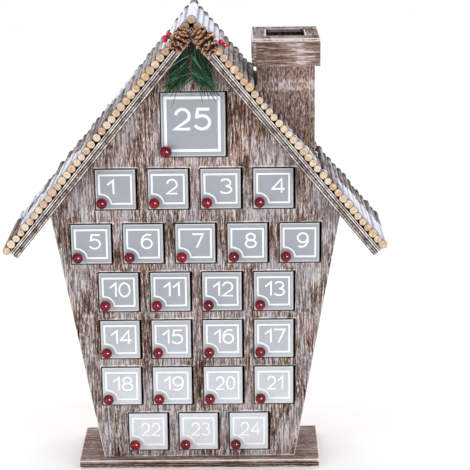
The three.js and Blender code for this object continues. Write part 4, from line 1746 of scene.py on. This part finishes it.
        above = [place for place in right if reach(place)[1] < low]
        below = [place for place in right if reach(place)[0] > high]
        beside = [place for place in right if place not in above and place not in below]
        return {
            "twigs_left_upper": (Side.LEFT, left[:half]),
            "twigs_left_lower": (Side.LEFT, self.shifted(left[half:], self.seam)),
            "twigs_right_upper": (Side.RIGHT, above),
            "twigs_right_front": (Side.RIGHT, self.shifted(beside, self.seam)),
            "twigs_right_back": (Side.RIGHT, self.shifted(beside, self.seam)),
            "twigs_right_lower": (Side.RIGHT, self.shifted(below, 2 * self.seam)),
        }

    def make(self) -> None:
        """Builds every bundle and the ridge twig."""
        _, _, chimney_front, chimney_back = HOUSE.chimney
        for name, (side, places) in self.laid().items():
            twigs = []
            for place in places:
                front, back = self.ends(place, side)
                back = chimney_front - HOUSE.gap if name.endswith("_front") else back
                front = chimney_back + HOUSE.gap if name.endswith("_back") else front
                twigs.append((place, (front, back)))
            self.bundle(name, twigs, side)
        ridge = TwigPlace(0, 0, HOUSE.twig_radius)
        ends = (HOUSE.roof_front - self.front, HOUSE.roof_back + self.back)
        self.bundle("twig_ridge", [(ridge, ends)], None)


@dataclass(frozen=True)
class SnowPatch:
    """A soft-edged patch of snow on one side of the roof."""

    side: Side
    down: float
    y: float
    reach_down: float
    reach_y: float
    weight: float = 1.0


@dataclass
class Snow:
    """White paint over the twigs, thick in the valleys between them."""

    palette: Palette
    roof: TwigRoof
    patches: tuple[SnowPatch, ...] = (
        SnowPatch(Side.LEFT, 0, 0, 34, 90, 1.25),
        SnowPatch(Side.RIGHT, 0, 0, 36, 90, 1.25),
        SnowPatch(Side.LEFT, 108, 50, 34, 24, 1.1),
        SnowPatch(Side.LEFT, 212, -38, 50, 38, 1.2),
        SnowPatch(Side.LEFT, 268, 46, 38, 30, 1.2),
        SnowPatch(Side.RIGHT, 262, -36, 48, 46, 1.2),
        SnowPatch(Side.RIGHT, 160, -50, 44, 12, 0.7),
    )
    step: float = 0.95
    rows: int = 58
    bare_back: float = 21.0
    sunk: float = 0.3
    skin: float = 0.7
    thinnest: float = -1.1
    margin: float = 1.0

    def cover(self, side: Side, down: float, y: float) -> float:
        """How thick the snow lies at a place, below 0 where there is none.

        Args:
            side: The side of the roof.
            down: Distance down the slope.
            y: Distance from front to back.

        Returns:
            The thickness over the twigs' mean top.
        """
        most = 0.0
        drawn = y + 11 * noise.noise(Vector((down * 0.11, 8.1, 3.0 * side.value)))
        for patch in self.patches:
            if patch.side is side:
                away = math.hypot((down - patch.down) / patch.reach_down, (drawn - patch.y) / patch.reach_y)
                most = max(most, patch.weight * (1.35 - away))
        here = Vector((down * 0.045, y * 0.02, 7.0 * side.value))
        rough = 0.55 * noise.noise(here) + 0.3 * noise.noise(here * 3.1) + 0.16 * noise.noise(here * 9)
        ragged = 3.5 * noise.noise(Vector((down * 0.16, 3.3, 5.0 * side.value)))
        to_back = HOUSE.roof_back - y + ragged
        strip = 1 + self.bare_back * (1 - smooth(down, 66, 78))
        bare = 2.6 * (1 - smooth(to_back, strip - 5, strip + 4))
        return min(0.75, 2.6 * (most - 0.42 + rough)) - bare

    def profiles(self, ridge_down: float) -> dict[Side, tuple[np.ndarray, np.ndarray]]:
        """Places and radii of the twigs on both sides, the ridge twig among them."""
        laid = self.roof.laid()
        found: dict[Side, tuple[np.ndarray, np.ndarray]] = {}
        for side in Side:
            twigs = [self.roof.grown(place, side) for s, row in laid.values() if s is side for place in row]
            found[side] = (np.array([ridge_down, *(twig.down for twig in twigs)]),
                           np.array([HOUSE.twig_radius, *(twig.radius for twig in twigs)]))
        return found

    def valleys(self, bm: BMesh, sunk: Sequence[tuple[Vector, float]]) -> list[float]:
        """How deep in a valley each vertex lies.

        Args:
            bm: The finished shape.
            sunk: Points of the first sheet with their depths.

        Returns:
            The depth at the nearest of those points, for each vertex.
        """
        nearest = kdtree.KDTree(len(sunk))
        for index, (point, _) in enumerate(sunk):
            nearest.insert(point, index)
        nearest.balance()
        return [sunk[nearest.find(vert.co)[1]][1] for vert in bm.verts]

    def make(self) -> Object:
        """Builds the snow as one sheet over the ridge and both slopes."""
        ridge_down = -HOUSE.ridge_lift * HOUSE.sin_pitch
        twigs = self.profiles(ridge_down)
        shell = HOUSE.twig_radius - self.sunk
        turn_length = shell * HOUSE.pitch
        reach = turn_length + HOUSE.slope - ridge_down + 1
        front = HOUSE.roof_front - self.roof.front + 0.1
        back = HOUSE.roof_back - self.margin
        left, right, near, far = HOUSE.chimney
        bm = bmesh.new()
        bmesh.ops.create_grid(bm, x_segments=round(2 * reach / self.step), y_segments=self.rows, size=1)
        hidden = []
        sunk: list[tuple[Vector, float]] = []
        for vert in bm.verts:
            side = Side.LEFT if vert.co.x < 0 else Side.RIGHT
            along = abs(vert.co.x * reach)
            row = (vert.co.y + 1) / 2
            at_front = row < 1e-6
            y = front + row * (back - front)
            if along < turn_length:
                angle, down, valley = along / shell, ridge_down, 0.0
                thickness = self.cover(side, 0.0, y)
                out = shell + thickness - (1.2 if at_front else 0)
                x = side.value * out * math.sin(angle)
                z = HOUSE.ridge + HOUSE.ridge_lift + out * math.cos(angle)
            else:
                down = ridge_down + along - turn_length
                downs, radii = twigs[side]
                heights = radii + HOUSE.gap + np.sqrt(np.maximum(0, radii ** 2 - (downs - down) ** 2))
                best = int(np.argmax(np.where(np.abs(downs - down) < radii, heights, 0)))
                own, crest = heights[best], 2 * radii[best] + HOUSE.gap
                valley = (crest - own) / radii[best]
                thickness = self.cover(side, down, y)
                fill = 0.2 + 0.35 * smooth(thickness, -0.3, 0.8)
                out = own - 0.9 if at_front else own + (crest - own) * fill - self.sunk + thickness
                x, z = HOUSE.over_roof(side, down, out)
            in_chimney = (left - self.margin < x < right + self.margin
                          and near - self.margin < y < far + self.margin)
            if thickness < self.thinnest or down > HOUSE.slope - self.margin or in_chimney:
                hidden.append(vert)
            vert.co = (x, y, z)
            sunk.append((vert.co.copy(), valley))
        bmesh.ops.delete(bm, geom=hidden, context="VERTS")
        loose = [vert for vert in bm.verts if not vert.link_faces]
        bmesh.ops.delete(bm, geom=loose, context="VERTS")
        outward(bm)
        if sum(face.normal.z for face in bm.faces) < 0:
            bmesh.ops.reverse_faces(bm, faces=bm.faces)
        bmesh.ops.solidify(bm, geom=bm.faces[:], thickness=self.skin)
        # The valley depth steers the snow's painted shade.
        numbers = {"valley": self.valleys(bm, sunk)}
        return Piece("roof_snow", [self.palette.snow], smooth_angle=80).add(bm, numbers)


@dataclass
class PineCone:
    """An open pine cone with curved scales in a spiral."""

    node: str
    length: float
    radius: float
    tilt: float
    palette: Palette
    shift: tuple[float, float] = (0.0, 0.0)
    count: int = 52

    def scale_blank(self) -> Mesh:
        """One scale, a spoon one unit long with a thick tip."""
        bm = bmesh.new()
        bm.verts.layers.float.new("tip")
        bmesh.ops.create_grid(bm, x_segments=4, y_segments=5, size=0.5)
        tip = bm.verts.layers.float["tip"]
        for vert in bm.verts:
            across, share = vert.co.x * 2, vert.co.y + 0.5
            width = 0.2 + 0.42 * math.sin(math.pi * min(1.0, share * 0.62 + 0.12))
            narrowing = 1 - 0.75 * max(0.0, share - 0.72) / 0.28 * abs(across)
            vert[tip] = share
            cup = 0.16 * across * across * share
            rise = 0.05 + 0.34 * share ** 2.2
            vert.co = (across * width * narrowing, share, rise - cup + 0.07 * share * (1 - abs(across)))
        bmesh.ops.solidify(bm, geom=bm.faces[:], thickness=0.11)
        for vert in bm.verts:
            if vert.co.y > 0.9 and vert[tip] == 0:
                vert[tip] = 0.9
        outward(bm)
        return as_mesh(bm, "scale_blank")

    def make(self) -> Object:
        """Builds the cone in place of its CAD node."""
        low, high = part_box(self.node)
        middle = (low + high) / 2 / MM + Vector((self.shift[0], 0, self.shift[1]))
        place_all = Matrix.Translation(middle) @ Matrix.Rotation(-math.radians(self.tilt), 4, "Y")
        core = bmesh.new()
        thick = self.radius * 0.5
        bmesh.ops.create_uvsphere(core, u_segments=16, v_segments=12, radius=1)
        core.transform(place_all @ Matrix.Diagonal((thick, thick, self.length * 0.46, 1)))
        Piece(f"{self.node}_core", [self.palette.stem], replaces=[self.node]).add(core)
        bm = bmesh.new()
        bm.verts.layers.float.new("tip")
        tones: list[float] = []
        blank = self.scale_blank()
        for index in range(self.count):
            share = (index + 0.5) / self.count
            fullness = math.sin(math.pi * (0.06 + 0.9 * share)) ** 0.7
            size = self.radius * (0.44 + 0.40 * fullness) * (1 + 0.10 * wobble(index, 51))
            open_angle = math.radians(82 - 62 * share + 11 * wobble(index, 52))
            start = self.radius * 0.40 * fullness
            along = (share - 0.5) * self.length * 0.86 - size * 0.2 * math.cos(open_angle)
            scale = add_copy(bm, blank)
            stand = Matrix.Rotation(math.pi / 2, 4, "X")
            lean = Matrix.Rotation(-open_angle, 4, "X")
            turn = Matrix.Rotation(index * GOLDEN_TURN, 4, "Z")
            seat = turn @ Matrix.Translation((0, -start, along))
            place = seat @ lean.inverted() @ stand @ Matrix.Scale(size, 4)
            for vert in scale:
                vert.co = place @ vert.co
            tones += [0.5 + 0.5 * wobble(index, 53)] * len(scale)
        bpy.data.meshes.remove(blank)
        widest = max(math.hypot(vert.co.x, vert.co.y) for vert in bm.verts)
        fit = self.radius / widest
        bm.transform(place_all @ Matrix.Diagonal((fit, fit, 1, 1)))
        piece = Piece(f"{self.node}_scales", [self.palette.scale], replaces=[self.node], slot="pine_cone",
                      smooth_angle=60)
        return piece.add(bm, {"tone": tones})


@dataclass
class NeedleBunch:
    """Long needles that hang from a twiglet under the ridge."""

    palette: Palette
    root: tuple[float, float, float] = (0.0, -46.8, 440.0)
    lowest: float = 396.2
    count: int = 312
    thickness: float = 0.43
    right_feet: tuple[float, float] = (5.5, 19.5)
    left_feet: tuple[float, float] = (-10.0, -20.5)
    before_roof: float = 1.6
    tip_ends: tuple[tuple[float, float, float], ...] = (
        (-14.6, -20.5, 380.5), (-17.6, -22.0, 390.5), (-25.5, -28.8, 391.5), (-2.0, -1.6, 393.5),
        (6.4, 10.3, 384.0), (12.4, 16.5, 389.0), (14.5, 22.5, 385.5), (17.0, 26.5, 387.0),
        (18.5, 23.5, 390.5), (20.0, 25.5, 391.5), (16.0, 19.0, 391.0), (17.5, 21.0, 388.5),
        (10.5, 12.0, 391.5), (19.5, 27.5, 391.0), (8.5, 10.5, 390.5), (13.5, 15.0, 388.0),
    )

    def needle(self, bm: BMesh, start: Vector, heading: Vector, length: float,
               droop: Vector) -> int:
        """Adds one needle, slim and slightly bent.

        Args:
            bm: The shape that the needle is added to.
            start: Its root.
            heading: The direction in which it sets out.
            length: Its length.
            droop: How far its tip bends away from the heading.

        Returns:
            The number of its vertices.
        """
        steps = 5
        path, radii = [], []
        for step in range(steps + 1):
            share = step / steps
            path.append(start + heading * (length * share) + droop * (share * share))
            radii.append(self.thickness * (0.75 if step == 0 else 1 - 0.8 * share ** 2.5))
        before = len(bm.verts)
        tube(bm, path, radii, 4)
        return len(bm.verts) - before

    def under_roof(self, x: float) -> float:
        """The highest place under the roof boards at X."""
        return HOUSE.ridge - HOUSE.roof_thickness / HOUSE.cos_pitch - abs(x) * math.tan(HOUSE.pitch) - 1.0

    def foot(self, index: int) -> float:
        """X of a needle's tip: in the middle for a short needle, and otherwise with its bunch."""
        if index % 7 == 0:
            return 10 * wobble(index, 77) - 2
        bunch = index // 3
        nearest, further = self.right_feet if bunch % 2 else self.left_feet
        return nearest + further * abs(wobble(bunch, 61)) ** 0.8 + 2.6 * wobble(index, 63)

    def hanging(self, index: int) -> tuple[Vector, Vector, Vector]:
        """How one needle hangs. Two of three start in front of the roof boards, along the twiglet.

        Args:
            index: Which needle it is. Three in a row make a bunch, and every seventh is short.

        Returns:
            Its root, its tip, and how far it bows on the way.
        """
        bunch = index // 3
        short = index % 7 == 0
        foot = self.foot(index)
        side_way, to_front = wobble(index, 65), wobble(index, 66)
        rise = 16 + 9 * wobble(index, 78) if short else 13 * abs(wobble(index, 67)) ** 3
        sag = 0.0
        if index % 3 and not short:
            depth = abs(wobble(bunch, 62))
            start = Vector((1.5 * side_way - 0.05 * foot - 0.8,
                            HOUSE.roof_front - self.before_roof + 0.9 * to_front,
                            self.root[2] - 3 - 26 * depth))
            rise += 30 * max(0.0, wobble(index, 73)) * (1 - depth) ** 2 * min(1.0, abs(foot) / 28) ** 2
            sag = -2.0 - 2.0 * abs(wobble(index, 74))
        else:
            head = foot * (0.2 + 0.011 * abs(foot) + 0.12 * wobble(bunch, 62)) + 1.2 * side_way
            start = Vector((head, self.root[1] + 2.4 * to_front, min(self.root[2], self.under_roof(head))))
        end = Vector((foot, start.y - 2.2 + 2.0 * wobble(index, 64), self.lowest + rise))
        bow = Vector((1.8 * wobble(index, 68) - 0.07 * foot, 0.8 * wobble(index, 69), sag))
        return start, end, bow

    def make_spray(self) -> Object:
        """Builds the needles that end above the gable's door."""
        bm = bmesh.new()
        tones: list[float] = []
        tips: list[float] = []
        for index in range(self.count):
            start, end, bow = self.hanging(index)
            run = end - start - bow
            made = self.needle(bm, start, run.normalized(), run.length, bow)
            tones += [0.5 + 0.5 * wobble(index, 70)] * made
            tips += [0.5 + 0.5 * wobble(index // 3, 71)] * made
        outward(bm)
        piece = Piece("needles", [self.palette.needle], replaces=["needle_spray"], slot="pine_needle")
        return piece.add(bm, {"tone": tones, "tip": tips})

    def make_tips(self) -> Object:
        """Builds the few needles that hang over the gable's door."""
        bm = bmesh.new()
        tones: list[float] = []
        top = self.lowest + 3.5
        for index, (head, foot, end) in enumerate(self.tip_ends):
            start = Vector((head, self.root[1] - 2.6, top))
            run = Vector((foot, start.y + 0.4, end)) - start
            bow = Vector((0.5 * wobble(index, 75), 0, 0))
            made = self.needle(bm, start, run.normalized(), run.length, bow)
            tones += [0.3 + 0.3 * wobble(index, 76)] * made
        outward(bm)
        numbers = {"tone": tones, "tip": [0.5] * len(tones)}
        tips = Piece("needle_tips", [self.palette.needle]).add(bm, numbers)
        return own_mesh(tips)

    def make_twiglet(self) -> Object:
        """Builds the brown twiglet that the needles grow from."""
        bm = bmesh.new()
        x, y, z = self.root
        radii = [1.8, 1.5, 1.2, 1.0, 0.9, 0.8, 0.7, 0.4]
        path = [
            Vector((x - 0.8 + 0.6 * math.sin(k * 1.1), y - 2.7 * min(k, 4), z + 3 - 4.6 * k))
            for k in range(len(radii))
        ]
        tube(bm, path, radii, 9)
        outward(bm)
        return Piece("needle_twiglet", [self.palette.stem], replaces=["needle_spray"]).add(bm)

    def make(self) -> None:
        """Builds the bunch."""
        self.make_twiglet()
        self.make_spray()
        self.make_tips()


@dataclass
class BerrySprig:
    """Red berries on thin stems beside the cones."""

    side: Side
    start: float
    count: int
    palette: Palette
    radius: float = 2.7
    step: float = 4.0
    back: float = 4.5
    lift: float = 1.2

    def over(self, x: float, out: float) -> float:
        """Z at a distance out from the roof board over X."""
        return HOUSE.ridge + out / HOUSE.cos_pitch - math.tan(HOUSE.pitch) * x

    def centre(self, index: int) -> Vector:
        """The middle of a berry."""
        x = self.start + min(index, 1.15) * self.step - (0.6 if index > 1 else 0)
        out = 2 * HOUSE.twig_radius + HOUSE.gap + self.radius + 0.15 + self.lift * (index % 2)
        return Vector((self.side.value * x, HOUSE.roof_front + self.back, self.over(x, out)))

    def make(self) -> None:
        """Builds the berries and their stems."""
        node = f"berries_{self.side.name.lower()}"
        berries = bmesh.new()
        stems = bmesh.new()
        foot = Vector((self.side.value * self.start, HOUSE.roof_front - 1.4,
                       self.over(self.start, 2 * HOUSE.twig_radius + HOUSE.gap + 1.45)))
        for index in range(self.count):
            centre = self.centre(index)
            spin = Matrix.Rotation(0.7 * index, 4, "Z") @ Matrix.Rotation(0.5, 4, "X")
            ball = bmesh.ops.create_uvsphere(berries, u_segments=20, v_segments=12, radius=self.radius)
            for vert in ball["verts"]:
                dimple = 0.14 * smooth(vert.co.z / self.radius, 0.86, 1.0)
                vert.co = centre + spin @ (vert.co * (1 - dimple))
            bend = (foot + centre) / 2 + Vector((0, -0.5, 0.6))
            path = [foot, (foot + bend) / 2, bend, (bend + centre) / 2, centre]
            tube(stems, path, [0.6, 0.5, 0.45, 0.45, 0.5], 7)
        bmesh.ops.create_icosphere(stems, subdivisions=2, radius=1.2, matrix=Matrix.Translation(foot))
        outward(stems)
        Piece(f"{node}_fruit", [self.palette.berry], replaces=[node], slot="red_lacquer").add(berries)
        Piece(f"{node}_stems", [self.palette.stem], replaces=[node]).add(stems)


@dataclass(frozen=True)
class SoftLight:
    """A soft rectangular light, with its place and size in metres and its power in watts."""

    name: str
    place: tuple[float, float, float]
    size: tuple[float, float]
    power: float
    aim: tuple[float, float, float] = (0.0, 0.0, 0.22)

    def make(self) -> Object:
        """Adds the light."""
        data = bpy.data.lights.new(self.name, "AREA")
        data.shape = "RECTANGLE"
        data.size, data.size_y = self.size
        data.energy = self.power
        light = bpy.data.objects.new(self.name, data)
        light.location = self.place
        away = Vector(self.aim) - Vector(self.place)
        light.rotation_euler = away.to_track_quat("-Z", "Y").to_euler()
        bpy.context.scene.collection.objects.link(light)
        return light


@dataclass
class Studio:
    """Pale floor, soft lights and the camera, in metres and radians.

    Surround is the strength of the light all round, with its gain for each axis, and glint is a light that is
    seen only as a reflection in the lacquer.
    """

    palette: Palette
    position: tuple[float, float, float] = (0.04586, -1.52293, 0.69337)
    pitch: float = 0.29021701
    yaw: float = -0.00453217
    roll: float = -0.01034903
    focal_px: float = 1560.916
    frame_px: float = 470.0
    surround: float = 0.82
    surround_gain: tuple[float, float, float] = (0.0, 0.6, 0.36)
    lights: tuple[SoftLight, ...] = (
        SoftLight("soft_left", (-1.42, -1.36, 0.52), (0.45, 0.7), 9),
        SoftLight("soft_right", (1.42, -1.36, 0.52), (0.45, 0.7), 9),
        SoftLight("soft_top", (0, -0.1, 2.0), (1.6, 1.2), 2, aim=(0, 0, 0.2)),
    )
    glint: SoftLight = SoftLight("glint", (0.52, -1.42, 0.72), (0.7, 0.7), 60)

    def make_floor(self) -> None:
        """Lays the floor."""
        bm = bmesh.new()
        bmesh.ops.create_grid(bm, x_segments=8, y_segments=8, size=9)
        mesh = as_mesh(bm, "floor")
        mesh.materials.append(self.palette.paper)
        floor = bpy.data.objects.new("floor", mesh)
        bpy.context.scene.collection.objects.link(floor)

    def make_world(self) -> None:
        """Surrounds the scene with soft white light, darkest behind the camera."""
        world = bpy.data.worlds.new("studio")
        world.use_nodes = True
        tree = world.node_tree
        background = tree.nodes["Background"]
        background.inputs["Color"].default_value = (1, 1, 1, 1)
        where = tree.nodes.new("ShaderNodeTexCoord")
        lean = tree.nodes.new("ShaderNodeVectorMath")
        lean.operation = "DOT_PRODUCT"
        lean.inputs[1].default_value = self.surround_gain
        tree.links.new(where.outputs["Generated"], lean.inputs[0])
        total = tree.nodes.new("ShaderNodeMath")
        total.inputs[1].default_value = self.surround
        tree.links.new(lean.outputs["Value"], total.inputs[0])
        tree.links.new(total.outputs[0], background.inputs["Strength"])
        bpy.context.scene.world = world

    def make_camera(self) -> None:
        """Stands the camera where the photograph was taken from."""
        level = math.cos(self.pitch)
        ahead = Vector((math.sin(self.yaw) * level, math.cos(self.yaw) * level, -math.sin(self.pitch)))
        right = ahead.cross(Vector((0, 0, 1))).normalized()
        up = right.cross(ahead)
        turned_right = right * math.cos(self.roll) + up * math.sin(self.roll)
        turned_up = -right * math.sin(self.roll) + up * math.cos(self.roll)
        data = bpy.data.cameras.new("camera")
        data.sensor_width = 36
        data.lens = 36 * self.focal_px / self.frame_px
        data.clip_end = 60
        camera = bpy.data.objects.new("camera", data)
        turn = Matrix((turned_right, turned_up, -ahead)).transposed()
        camera.matrix_world = Matrix.Translation(self.position) @ turn.to_4x4()
        bpy.context.scene.collection.objects.link(camera)
        bpy.context.scene.camera = camera

    def make(self) -> None:
        """Sets up the studio."""
        bpy.context.scene.view_settings.view_transform = "Standard"
        self.make_world()
        self.make_floor()
        self.make_camera()
        for light in self.lights:
            light.make()
        LOG.info("studio ready")

    def add_glint(self) -> None:
        """Adds the light that is seen only as a reflection in the beads and berries."""
        lacquered = bpy.data.collections.new("lacquered")
        for thing in bpy.context.scene.objects:
            if {slot.material for slot in thing.material_slots} & {self.palette.bead, self.palette.berry}:
                lacquered.objects.link(thing)
        light = self.glint.make()
        light.visible_diffuse = False
        light.light_linking.receiver_collection = lacquered


def main() -> None:
    """Builds the calendar piece by piece."""
    logging.basicConfig(level=logging.INFO, format="%(name)s %(message)s")
    palette = Palette()
    studio = Studio(palette)
    studio.make()
    HouseBody(palette).make()
    for side in Side:
        RoofBoard(side, palette).make()
    Chimney(palette).make()
    for door in all_doors(palette):
        door.make()
    roof = TwigRoof(palette)
    roof.make()
    Snow(palette, roof).make()
    PineCone("cone_right", 30, 11.8, 38, palette, (-1.2, 2.8)).make()
    PineCone("cone_left", 25, 10.2, -26, palette, (0.6, 3.2)).make()
    NeedleBunch(palette).make()
    BerrySprig(Side.LEFT, 21.6, 3, palette).make()
    BerrySprig(Side.RIGHT, 27.6, 2, palette).make()
    studio.add_glint()


if __name__ == "__main__":
    main()
